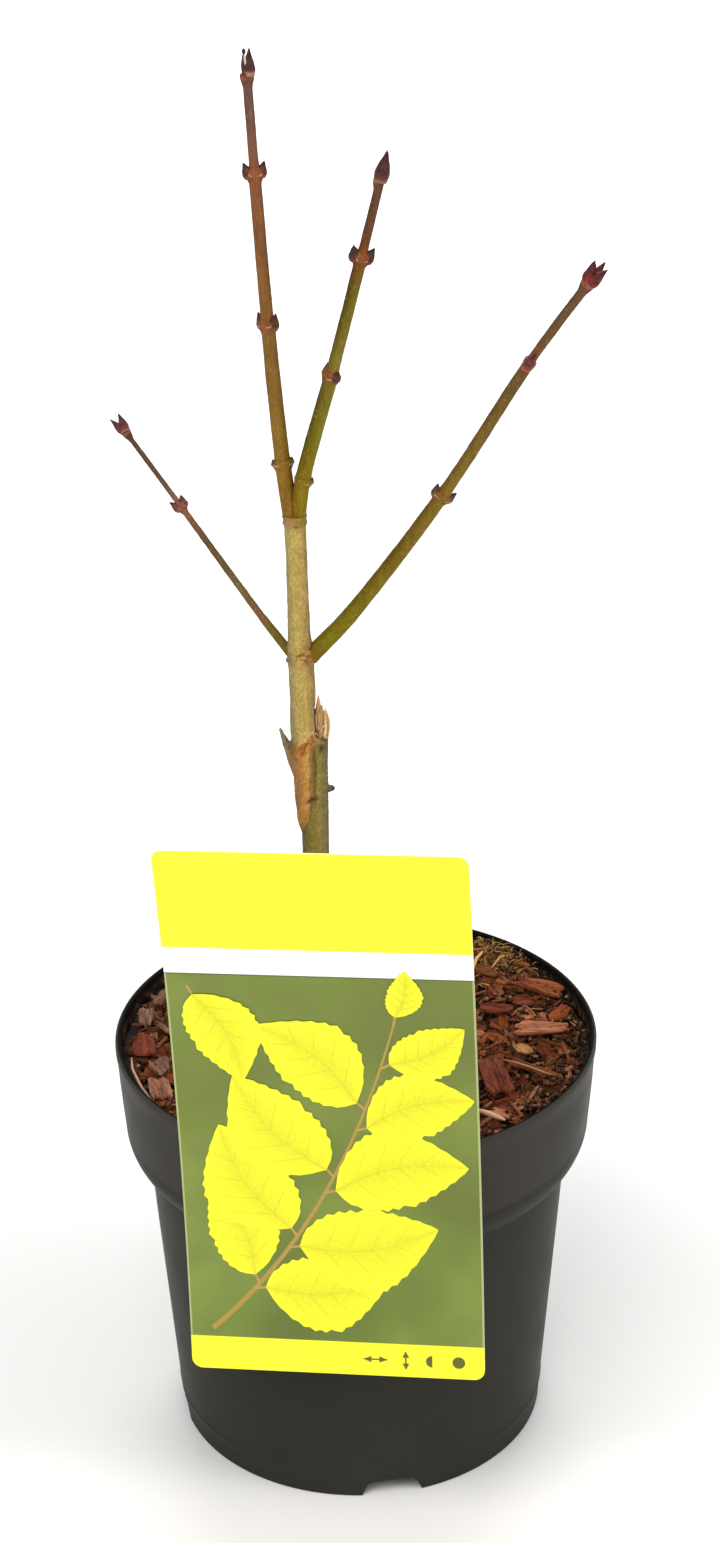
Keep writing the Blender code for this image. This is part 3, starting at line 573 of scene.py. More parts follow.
def pot_material():
    """Satin black plastic, a little cloudy and scratched, with its collar painted paler as light, its lip's
    inner brink painted dark as shade, and a darker inside specked with soil.
    """
    material, tree, shader = new_material("pot_plastic", 0.42, 0.025)
    place = own_place(tree)
    cloud = speckle(tree, place, 22.0, 3.0)
    level = own_axis(tree, "Z")
    flat = node(tree, "Mapping", {"Vector": place, "Scale": (1.0, 1.0, 0.0)}).outputs["Vector"]
    reach = node(tree, "VectorMath", {"Vector": flat}, operation="LENGTH").outputs["Value"]
    inside = reckon(tree, "MULTIPLY", climb(tree, reach, *INSIDE_REACH, 1.0, 0.0),
                    climb(tree, level, *INSIDE_LEVEL))
    # Painted shade: the inner part of the lip's top and the wall just under it are painted dark.
    brink_shade = reckon(tree, "MULTIPLY", climb(tree, level, *SHADED_BRINK_LEVEL, 0.0, 0.9),
                   climb(tree, reach, *SHADED_BRINK_REACH, 1.0, 0.0))
    # Painted light: the collar is painted paler, as lit from above.
    collar = climb(tree, level, COLLAR_FOOT[1] - 1.0, COLLAR_FOOT[1] + 1.0, 0.0, 0.55)
    collar = reckon(tree, "MULTIPLY", collar, reckon(tree, "SUBTRACT", 1.0, inside))
    soil = ramp(tree, speckle(tree, place, 3.5, 4.0), [(0.48, 0.0), (0.6, 1.0)])
    soil = mix(tree, 1.0, soil, climb(tree, level, *SOIL_LEVEL, 1.0, 0.0), "MULTIPLY")
    scratch = speckle(tree, own_place(tree, (1.0, 1.0, 0.05)), 0.9, 2.0)
    colour = mix(tree, cloud, srgb(46, 45, 41), srgb(53, 52, 48))
    for share, cast in ((collar, srgb(66, 63, 58)), (brink_shade, srgb(17, 15, 12)),
                        (inside, mix(tree, soil, srgb(17, 13, 9), srgb(92, 64, 45))),
                        (ramp(tree, scratch, [(0.72, 0.0), (0.8, 0.2)]), srgb(70, 68, 64))):
        colour = mix(tree, share, colour, cast)
    satin = ramp(tree, cloud, [(0.3, 0.36), (0.7, 0.46)])
    cover(shader, colour, mix(tree, reckon(tree, "MAXIMUM", inside, brink_shade), satin, (0.97, 0.97, 0.97)))
    relief(shader, mix(tree, 0.4, speckle(tree, place, 0.5, 2.0), cloud), 0.25, 0.12)
    return material


def compost_material():
    material, tree, shader = new_material("compost", 0.95)
    grain = speckle(tree, own_place(tree), 1.6, 5.0, 0.7)
    cover(shader, ramp(tree, grain, [(0.3, srgb(22, 15, 10)), (0.6, srgb(52, 36, 25)),
                                     (0.8, srgb(86, 62, 42))]))
    relief(shader, grain, 1.0, 1.2)
    return material


def printed(name, make_colour):
    """Coated card with a faint grain, in the colour that make_colour builds in its tree."""
    material, tree, shader = new_material(name, 0.32, 0.45)
    cover(shader, make_colour(tree))
    relief(shader, speckle(tree, own_place(tree), 0.4, 2.0), 0.08, 0.02)
    return material


def print_material(name, colour, other):
    """Card printed in a screen colour that drifts a little to another."""
    return printed(name, lambda tree: mix(tree, speckle(tree, own_place(tree), 30.0, 1.0), srgb(*colour),
                                          srgb(*other)))


def field_colour(tree):
    """The print's out-of-focus green: broad patches from olive to fresh green."""
    broad = speckle(tree, own_place(tree), 46.0, 1.0, 0.4)
    spots = speckle(tree, own_place(tree), 15.0, 0.0)
    green = ramp(tree, broad, [(0.30, srgb(90, 106, 32)), (0.5, srgb(104, 127, 38)),
                               (0.68, srgb(122, 142, 56))])
    colour = mix(tree, ramp(tree, spots, [(0.5, 0.0), (0.8, 0.35)]), green, srgb(88, 100, 36))
    return mix(tree, climb(tree, own_axis(tree, "Z"), 70.0, 190.0), colour,
               mix(tree, 0.35, colour, srgb(118, 122, 50)))


def tinted_material(name, roughness):
    """The tint with a slight drift."""
    material, tree, shader = new_material(name, roughness, 0.45)
    drift = speckle(tree, own_place(tree), 1.2)
    cover(shader, graded(tree, tint_of(tree), (drift, [(0.3, 0.92), (0.7, 1.04)])))
    return material


# Shoots, by the part's own rule

class Internode:
    """One stretch of a shoot between two joints: its direction, thickness and the buds at its top."""

    def __init__(self, length, lean, compass, thick, bud=None, turn=0.0, count=2, spread=20.0):
        self.length = length
        self.lean = math.radians(lean)
        self.compass = math.radians(compass)
        self.foot_radius = thick[0] / 2
        self.top_radius = thick[1] / 2
        self.bud = bud
        self.turn = math.radians(turn)
        self.count = count
        self.spread = math.radians(spread)

    def step(self):
        across = math.sin(self.lean)
        return self.length * np.array((across * math.cos(self.compass), across * math.sin(self.compass),
                                       math.cos(self.lean)))

    def bud_turns(self):
        return [self.turn + i * 2 * math.pi / self.count for i in range(self.count)]


# Bud sizes are (length, width). Tints are (share of the length, sunny side, shaded side), and sun is the
# angle round the shoot of its sunny side.
SHOOTS = {
    "leader": {
        "foot": (-20.4, 0.0, 384.0), "sun": 200,
        "internodes": [
            Internode(24.6, 8.1, 156, (6.2, 5.8), (2.0, 2.0), turn=10),
            Internode(51.9, 5.5, 148, (5.6, 5.2), (5.0, 3.0), turn=140),
            Internode(53.8, 4.6, 140, (4.6, 4.4), (4.6, 3.0), turn=8),
            Internode(33.2, 4.0, 139, (3.5, 3.3), (8.4, 3.4), turn=20, spread=5),
        ],
        "tints": [(0.0, (110, 76, 4), (126, 90, 28)), (0.2, (112, 86, 20), (132, 98, 38)),
                  (0.4, (118, 86, 36), (120, 84, 40)), (0.6, (112, 70, 34), (120, 80, 44)),
                  (0.8, (116, 70, 44), (128, 78, 52)), (0.88, (100, 72, 58), (108, 74, 60)),
                  (1.0, (92, 68, 58), (92, 68, 58))]},
    "second": {
        "foot": (-18.8, 0.0, 384.0), "sun": 190,
        "internodes": [
            Internode(18.8, 8.7, -25, (6.0, 5.7), (2.0, 1.9), turn=175, count=1),
            Internode(42.6, 16.1, -20, (5.6, 5.2), (3.6, 2.8), turn=125),
            Internode(45.8, 15.2, -21, (4.5, 4.4), (4.8, 3.2), turn=8),
            Internode(28.2, 14.6, -19, (3.4, 3.1), (9.2, 4.6), count=1, spread=0),
        ],
        "tints": [(0.0, (122, 108, 14), (116, 86, 2)), (0.12, (130, 112, 22), (118, 92, 10)),
                  (0.25, (122, 112, 16), (84, 74, 2)), (0.5, (128, 114, 44), (96, 82, 24)),
                  (0.6, (126, 110, 34), (74, 60, 4)), (0.7, (122, 104, 28), (74, 58, 6)),
                  (0.8, (104, 62, 30), (92, 54, 24)),
                  (1.0, (92, 64, 48), (84, 56, 42))]},
    "right": {
        "foot": (-15.0, 0.0, 331.9), "sun": 190,
        "internodes": [
            Internode(24.8, 40.8, -12.5, (6.6, 6.0)),
            Internode(60.3, 35.0, -14.3, (5.9, 5.1), (4.2, 2.5), turn=5),
            Internode(61.0, 31.1, -16.9, (4.6, 4.1), (4.8, 3.3), turn=80),
            Internode(35.6, 34.3, -15.0, (3.2, 3.5), (7.6, 4.0), turn=10, count=3, spread=17),
        ],
        "tints": [(0.0, (120, 96, 20), (112, 86, 14)), (0.03, (120, 96, 20), (112, 86, 14)),
                  (0.05, (122, 114, 16), (110, 98, 12)), (0.3, (126, 106, 24), (96, 72, 12)),
                  (0.5, (122, 102, 36), (108, 82, 26)), (0.75, (98, 76, 34), (98, 74, 36)),
                  (1.0, (102, 74, 52), (90, 64, 44))]},
    "left": {
        "foot": (-22.1, 0.0, 333.1), "sun": 200,
        "internodes": [
            Internode(17.4, 40.9, 158, (3.6, 3.0)),
            Internode(51.9, 37.7, 160, (2.8, 2.3), (4.0, 2.5), turn=10),
            Internode(33.6, 38.1, 160, (1.9, 1.9), (6.6, 3.2), turn=0, spread=12),
        ],
        "tints": [(0.0, (107, 90, 20), (103, 86, 18)), (0.13, (110, 92, 34), (106, 86, 30)),
                  (0.185, (122, 82, 56), (116, 76, 52)), (0.25, (110, 88, 50), (105, 84, 46)),
                  (0.32, (106, 89, 52), (102, 85, 48)),
                  (0.5, (96, 74, 42), (92, 70, 38)), (0.68, (130, 90, 66), (122, 82, 60)),
                  (0.76, (98, 74, 54), (90, 68, 50)), (1.0, (80, 58, 48), (72, 52, 42))]},
}
# Turn about a shoot of its front, which is painted paler as a highlight
HIGHLIGHT_STRIPE_TURN = math.radians(90.0)
# The right shoot's joint with red bark round it
RED_JOINT = 3
DRY_BUD = ("leader", 3, 0)
LONG_BUD = ("right", 2)
# Bright and dark tone of the buds at each joint of each shoot
BUD_TONES = {
    "leader": [((122, 92, 52), (66, 50, 32)), ((138, 84, 44), (58, 32, 22)), ((146, 78, 48), (56, 26, 20)),
               ((108, 52, 42), (60, 30, 26))],
    "second": [((122, 98, 50), (66, 54, 32)), ((134, 82, 52), (60, 32, 24)), ((124, 58, 46), (52, 26, 22)),
               ((112, 56, 48), (62, 32, 28))],
    "right": [((122, 96, 56), (66, 54, 34)), ((134, 92, 66), (70, 48, 36)), ((174, 86, 70), (72, 32, 28)),
              ((164, 50, 42), (64, 28, 26))],
    "left": [((130, 90, 66), (70, 44, 34)), ((160, 92, 76), (82, 44, 38)), ((140, 66, 58), (72, 36, 34))],
}
# Length and width of the tip buds as shares of the plan's
TIP_SCALES = {"leader": (0.93, 1.16), "second": (1.0, 1.0), "right": (1.0, 1.0), "left": (0.86, 0.9)}
# Share of a tip bud's length that is a paler band
TIP_BANDS = {"leader": 0.18, "second": 0.07, "right": 0.08, "left": 0.07}
DRY_TONES = ((64, 48, 40), (44, 34, 30))


class Shoot:
    """A shoot's smooth axis through its joints, with the radius along it."""

    def __init__(self, name, plan):
        self.name = name
        self.internodes = plan["internodes"]
        self.sun = math.radians(plan["sun"])
        self.tints = plan["tints"]
        self.joints = [np.array(plan["foot"])]
        self.places = [0.0]
        for internode in self.internodes:
            self.joints.append(self.joints[-1] + internode.step())
            self.places.append(self.places[-1] + internode.length)
        self.length = self.places[-1]

    def index(self, place):
        last = len(self.internodes) - 1
        return min(last, sum(1 for joint in self.places[1:] if joint <= place))

    def point(self, place):
        """A curve through the joints that leaves each along the line between its neighbours."""
        i = self.index(place)
        start, end = self.joints[i], self.joints[i + 1]
        before = self.joints[i - 1] if i else start - (end - start)
        after = self.joints[i + 2] if i + 2 < len(self.joints) else end + (end - start)
        share = (place - self.places[i]) / self.internodes[i].length
        reach = self.internodes[i].length / 3
        handle_in = start + unit(end - before) * reach
        handle_out = end - unit(after - start) * reach
        rest = 1 - share
        return (start * rest ** 3 + handle_in * 3 * rest ** 2 * share
                + handle_out * 3 * rest * share ** 2 + end * share ** 3)

    def axes(self, place):
        """Direction, side and up at a place, from which bud angles are counted."""
        step = 0.5
        ahead = self.point(min(self.length, place + step))
        direction = unit(ahead - self.point(max(0.0, place - step)))
        side = unit(np.cross(direction, (0.0, 1.0, 0.0)))
        return direction, side, np.cross(direction, side)

    def radius(self, place):
        i = self.index(place)
        internode = self.internodes[i]
        share = min(1.0, (place - self.places[i]) / internode.length)
        radius = between(internode.foot_radius, internode.top_radius, share)
        for joint, below in zip(self.places[1:], self.internodes):
            if below.bud and joint < self.length:
                radius += below.top_radius * JOINT_SWELL * math.exp(-((place - joint) / JOINT_REACH) ** 2)
        return radius


def limb_surface(shoot, places, angles):
    """Radius over a limb with its leaf cushions and rings, and where it is leaf scar, ring or cushion."""
    along = places[:, None]
    radius = np.array([[shoot.radius(place)] for place in places]) + 0 * angles
    scar, ring, cushion = (np.zeros(radius.shape) for _ in range(3))
    for joint, below in zip(shoot.places[1:], shoot.internodes):
        if not below.bud:
            continue
        at_tip = joint > shoot.length - 0.01
        width = min(3.0, below.bud[1])
        height = CUSHION_HEIGHT * width * (TIP_CUSHION if at_tip else 1.0)
        off = along - joint
        rise = ease(-CUSHION_LENGTH * width - 1.6, -0.35 * width, off)
        rise = rise * (1 - ease(-0.3 * width, 0.35 * width, off) * (not at_tip))
        for turn in below.bud_turns():
            facing = np.clip(np.cos(angles - turn), 0, 1)
            radius = radius + height * rise * facing ** 1.5
            patch = ease(0.3, 0.6, facing) * hump(off, -0.42 * width - 0.8 * (1 - facing), SCAR_WIDTH * width)
            patch = patch * (0.3 if at_tip else 1.0)
            scar = np.maximum(scar, patch)
            cushion = np.maximum(cushion, rise * ease(0.0, 0.7, facing) * ease(1.2, 3.3, width))
        for offset in RING_OFFSETS:
            line = hump(off, offset, RING_WIDTH)
            radius = radius - RING_DEPTH * line
            ring = np.maximum(ring, line)
    return radius, scar, ring, cushion


def limb_tints(shoot, places, angles, scar, ring, cushion):
    """Sunny and shaded bark colours along the limb, its front painted paler as a highlight and the rest
    darker as shade, redder at the joints, with pale leaf scars.
    """
    sunny, shaded = (bands(places / shoot.length, [(stop[0], stop[side]) for stop in shoot.tints])[:, None]
                     for side in (1, 2))
    tint = between(shaded, sunny, 0.5 + 0.5 * np.cos(angles - shoot.sun)[None, :, None])
    # Painted highlight: a paler stripe down the shoot's front, with its sides and back painted darker as
    # shade.
    wander = np.array([0.5 * noise.noise((place / 9.0, shoot.length, 3.0)) for place in places])
    highlight_stripe = np.cos(angles[None, :] - HIGHLIGHT_STRIPE_TURN + wander[:, None])
    tint = tint * between(0.88, 1.10, ease(0.1, 1.0, highlight_stripe))[..., None]
    near = np.zeros(len(places))
    for joint, below in zip(shoot.places[1:], shoot.internodes):
        if below.bud:
            strength = ease(1.8, 3.2, below.bud[1]) * (0.25 if joint > shoot.length - 0.01 else 1.0)
            near = np.maximum(near, hump(places, joint - 0.2, 2.2) * strength)
    tint = stain(tint, (146, 82, 42), 0.7 * near[:, None])
    tint = stain(tint, (108, 56, 34), 0.7 * cushion)
    if shoot.name == "right":
        red = hump(places, shoot.places[RED_JOINT] + 1.5, 6.5)
        tint = stain(tint, (128, 76, 56), 0.6 * red[:, None])
    tint = stain(tint, (214, 164, 138), 0.85 * scar)
    return stain(tint, (76, 40, 24), 0.45 * ring)


def seam_shade(points, shoot, others):
    """How far points lie in the seam against another shoot, from 0 to 1, for the shade painted into that
    crease.
    """
    shade = np.zeros(len(points))
    for other in others:
        if other is shoot:
            continue
        places = np.linspace(0, min(60.0, other.length), 80)
        axis = np.array([other.point(place) for place in places])
        radii = np.array([other.radius(place) for place in places])
        gaps = np.linalg.norm(points[:, None] - axis[None], axis=2) - radii[None]
        shade = np.maximum(shade, 1 - ease(0.1, 1.1, gaps.min(axis=1)))
    return shade


def make_limb(shoot, others, material):
    """One shoot's bark as a fine mesh from inside the trunk to under its tip buds."""
    count = int(shoot.length / LIMB_STEP)
    places = np.linspace(0.0, shoot.length, count)
    angles = round_turns(LIMB_SIDES)
    radius, scar, ring, cushion = limb_surface(shoot, places, angles)
    axes = [shoot.axes(place) for place in places]
    side = np.array([axis[1] for axis in axes])[:, None]
    up = np.array([axis[2] for axis in axes])[:, None]
    around = side * np.cos(angles)[None, :, None] + up * np.sin(angles)[None, :, None]
    centre = np.array([shoot.point(place) for place in places])[:, None]
    flat = (centre + around * radius[..., None]).reshape(-1, 3)
    grain = rough(flat, (0.8, 0.8, 3.2)) * 0.05 + rough(flat, (2.6, 2.6, 9.0), 7.3) * 0.09
    lenticel = ease(0.42, 0.56, rough(flat, (0.7, 0.7, 1.3), 31.7)).reshape(radius.shape)
    radius = radius + grain.reshape(radius.shape) + 0.06 * lenticel
    wall = (centre + around * radius[..., None]).reshape(-1, 3)
    tint = limb_tints(shoot, places, angles, scar, ring, cushion)
    tint = stain(tint, (176, 140, 88), 0.3 * lenticel).reshape(-1, 3)
    # Painted shade in the crease where the shoots meet, strongest at the crotch.
    crease_shade = seam_shade(wall, shoot, others) * (0.3 + 0.6 * hump(wall[:, 2], CROTCH, 5.0))
    tint = stain(tint, (84, 48, 12), crease_shade)
    shape = Shape()
    faces = grid_faces(count, LIMB_SIDES, closed=True)
    faces.append(tuple(reversed(range(LIMB_SIDES))))
    shape.add(wall, faces, tint)
    last = np.arange((count - 1) * LIMB_SIDES, count * LIMB_SIDES)
    rim = wall[last]
    dome = centre[-1] + (rim - centre[-1]) * 0.55 + axes[-1][0] * 0.5
    cap = grid_faces(2, LIMB_SIDES, closed=True) + [tuple(range(LIMB_SIDES, 2 * LIMB_SIDES))]
    shape.add(np.concatenate([rim, dome]), cap, srgb(92, 46, 30))
    limb = shape.build(shoot.name + "_shoot", [material])
    return dress(limb, "shoot_bark", shoot.name + "_bough", shoot.name + "_twig")


def bud_radius(height, width):
    """Outline of a bud: broad seat, widest a quarter of the way up, then a drawn-out point."""
    seat = 0.86 + 0.14 * ease(0.0, 0.25, height)
    return width / 2 * seat * (1 - np.clip((height - 0.24) / 0.76, 0, 1) ** 1.35)


def add_bud(shape, base, direction, length, width, rng, tones, band=0.0):
    """A bud: four crossed pairs of pointed scales over a core, and on a tip bud a paler band at the foot."""
    direction = unit(np.array(direction))
    side = unit(np.cross(direction, (0.3, 0.8, 0.1)))
    up = np.cross(direction, side)
    bright, dark = (srgb(*tone) * factor for tone, factor in zip(tones, (BUD_BRIGHTER, BUD_DARKER)))

    def place(height, angle, radius):
        along = between(-BUD_SUNK, 1.0, height) * length
        return (base + direction * along[..., None]
                + radius[..., None] * (side * np.cos(angle)[..., None] + up * np.sin(angle)[..., None]))

    rows, sides = 12, 14
    height, angle = np.meshgrid(np.linspace(0, 0.995, rows), round_turns(sides), indexing="ij")
    core = place(height, angle, bud_radius(height, width) * 0.94)
    tint = stain(bright, dark, np.clip(height * 1.3, 0, 1))
    shape.add(core.reshape(-1, 3), tube_faces(rows, sides), tint.reshape(-1, 3))
    start = rng.uniform(0, math.pi)
    for layer, (top, cover) in enumerate(((0.98, 1.0), (0.86, 1.15), (0.66, 1.3), (0.46, 1.4))):
        for half in range(2):
            turn = start + layer * math.pi / 2 + half * math.pi
            add_scale(shape, place, width, turn, top * rng.uniform(0.95, 1.03), cover, 0.05 + 0.045 * layer,
                      dark, bright, band)


def add_scale(shape, place, width, turn, top, cover, lift, dark, bright, band):
    """One bud scale: a curved pointed shell with a thin edge."""
    rows, columns = 8, 7
    share, across = np.meshgrid(np.linspace(0, 1, rows), np.linspace(-1, 1, columns), indexing="ij")
    height = share * top
    reach = cover * np.sqrt(np.clip(1 - share ** 2.2, 0, 1)) + 0.02
    angle = turn + across * reach
    radius = np.maximum(bud_radius(height, width), 0.04 * width)
    outer = place(height, angle, radius * (1.0 + lift) + 0.10 * (1 - across ** 2) * width * 0.3)
    inner = place(height, angle, radius * 0.9)
    points = np.concatenate([outer.reshape(-1, 3), inner.reshape(-1, 3)])
    size = rows * columns
    faces = grid_faces(rows, columns)
    faces += [tuple(corner + size for corner in reversed(face)) for face in faces]
    faces += edge_faces(rows, columns, size)
    edge = np.clip(np.abs(across) ** 3 + share ** 4, 0, 1)
    tone = stain(bright, dark, np.clip(0.15 + 0.85 * share, 0, 1))
    tone = stain(tone, dark, 0.7 * edge)
    if band:
        tone = stain(srgb(158, 112, 94), tone, ease(band - 0.05, band + 0.03, height))
    shape.add(points, faces, np.concatenate([tone.reshape(-1, 3)] * 2))


def add_dry_bud(shape, seat, axis, out, length, width):
    """A dried bud: a dark curved shell with a pale inner edge, which ends in a dark crumb."""
    steps = np.linspace(0, 1, 12)
    shell = [seat + axis * length * (0.86 * s - 0.1) + out * width * (0.1 * math.sin(math.pi * s) - 0.1 * s)
             for s in steps]
    tube(shape, shell, width * np.interp(steps, (0, 0.3, 0.6, 0.85, 1), (0.26, 0.27, 0.2, 0.13, 0.1)), 9,
         srgb(*DRY_TONES[0]))
    inner = [seat + axis * length * s - out * width * (0.22 - 0.1 * s) + (0, -0.9, 0)
             for s in np.linspace(0.1, 0.7, 9)]
    tube(shape, inner, 0.42 * np.sin(np.linspace(0.35, 2.8, 9)), 7, srgb(206, 182, 166))
    crumb = [seat + axis * length * s - out * width * 0.1 for s in (0.68, 0.76, 0.86, 0.92)]
    tube(shape, crumb, [0.4, 0.72, 0.62, 0.1], 8, srgb(*DRY_TONES[1]))


def make_buds(shoots, material):
    """Every bud of every shoot, seated as in the part."""
    shape = Shape()
    rng = random.Random(SEEDS["buds"])
    for shoot in shoots:
        for i, (joint, below) in enumerate(zip(shoot.places[1:], shoot.internodes)):
            if not below.bud:
                continue
            at_tip = joint > shoot.length - 0.01
            length, width = below.bud
            axis, side, up = shoot.axes(joint)
            for k, turn in enumerate(below.bud_turns()):
                out = side * math.cos(turn) + up * math.sin(turn)
                pointing = axis * math.cos(below.spread) + out * math.sin(below.spread)
                dry = (shoot.name, i, k) == DRY_BUD
                plump = 1.0 if at_tip else BUD_PLUMP
                if (shoot.name, i) == LONG_BUD:
                    pointing = unit(axis + out * 0.12)
                    length, plump = length * 1.25, 1.0
                tones = BUD_TONES[shoot.name][i]
                longer, wider = TIP_SCALES[shoot.name] if at_tip else (1.0, 1.0)
                if at_tip:
                    stand = 0.0 if below.count == 1 else width * TIP_APART
                    seat = shoot.point(joint) + out * stand + axis * length * TIP_RISE
                else:
                    seat = shoot.point(joint) + out * below.top_radius - axis * length * SIDE_DROP
                if dry:
                    add_dry_bud(shape, seat, axis, out, length, width)
                else:
                    add_bud(shape, seat, pointing, length * longer, width * plump * wider, rng, tones,
                            TIP_BANDS[shoot.name] if at_tip else 0.0)
    return dress(shape.build("buds", [material]), "twigs")


# Trunk

def smooth_line(line, low, high, step=1.0, width=7):
    """A line of points that climbs, resampled by height and rounded."""
    line = np.array(line)
    heights = np.arange(low, high + step / 2, step)
    kernel = np.hanning(width + 2)[1:-1]
    kernel /= kernel.sum()
    rounded = []
    for axis in range(2):
        values = np.interp(heights, line[:, 2], line[:, axis])
        padded = np.pad(values, width // 2, mode="edge")
        rounded.append(np.convolve(padded, kernel, "valid"))
    return np.stack([*rounded, heights], 1)


def trunk_blank():
    """The trunk's plain pieces, still separate."""
    shape = Shape()
    heights, radii = np.array(ROOTSTOCK_SIZES).T
    points = smooth_line(ROOTSTOCK_LINE, 160.0, STUB_TOP)
    tube(shape, points, np.interp(points[:, 2], heights, radii), 28)
    for i in range(FLARE_ROOTS):
        angle = math.radians(FLARE_COMPASS + i * 360 / FLARE_ROOTS + FLARE_UNEVEN * (-1) ** i)
        out = np.array((math.cos(angle), math.sin(angle), 0))
        foot = np.array((*TRUNK_FOOT, GROUND))
        tube(shape, [foot + out * reach + (0, 0, rise) for reach, rise in ROOT_LINE], ROOT_RADII, 14)
    heights, radii = np.array(SCION_SIZES).T
    points = smooth_line(SCION_LINE, 259.0, 388.0)
    size = np.interp(points[:, 2], heights, radii)
    for ridge, height, width in COLLAR_RIDGES:
        size = size + height * hump(points[:, 2], ridge, width)
    tube(shape, points, size, 28)
    tube(shape, CALLUS_LINE, CALLUS_RADII, 16)
    tube(shape, SPUR_LINE, SPUR_RADII, 12)
    return shape.build("trunk_blank", [])


def add_knob(shape, place, facing, length, width):
    """A blunt bump on the bark."""
    facing = unit(np.array(facing))
    steps = np.linspace(0, 1, 7)
    points = [np.array(place) + facing * length * between(-0.8, 1.0, share) for share in steps]
    tube(shape, points, width / 2 * np.sqrt(np.clip(1 - (steps * 0.96) ** 2.5, 0.02, 1)), 14)


def trunk_dent(points):
    """How deep the bark is pressed in at its cleft, its old cuts and the scars at the side joint."""
    x, y, z = points.T
    front = y < 1.5
    wander = 0.7 * rough(points, (3.0, 3.0, 5.0), 51.0)
    cleft = hump(x + wander, -14.0, 0.5) * ease(270, 276, z) * (1 - ease(292, 298, z)) * front
    gap = hump(x, -13.2, 0.45) * ease(299, 302, z) * (1 - ease(311, 315, z)) * (y < 3)
    cut = hump(x, -15.6 + 0.5 * (z - 274.2), 2.3) * hump(z, 274.2, 1.0) * front
    hole = hump(x, -11.3, 1.0) * hump(z, 295.0, 1.6) * front
    arch = np.hypot((x + 16.4 - 0.6 * (z - 298.0)) / 2.2, (z - 298.0) / 4.0)
    pits = ease(0.1, 0.5, rough(points, (1.0, 1.0, 1.3), 63.0)) * hump(arch, 0, 1)
    scar_low = hump(z - 332.4 + 0.9 * (x + 17.2), 0, 0.5) * hump(x, -17.0, 1.3) * front
    scar_high = hump(z - 334.4 - 0.38 * (x + 19.0), 0, 0.5) * hump(x, -18.9, 1.3) * front
    base = hump(z - 336.0 + 0.3 * (x + 14.0), 0, 0.7) * hump(x, -14.4, 1.4) * front
    mark = hump(x, -19.3, 0.9) * hump(z, 384.6, 0.7) * front
    return (0.3 * cleft + 0.5 * gap + 0.55 * cut + 0.7 * hole + 0.4 * pits
            + 0.4 * (scar_low + scar_high + base) + 0.35 * mark)


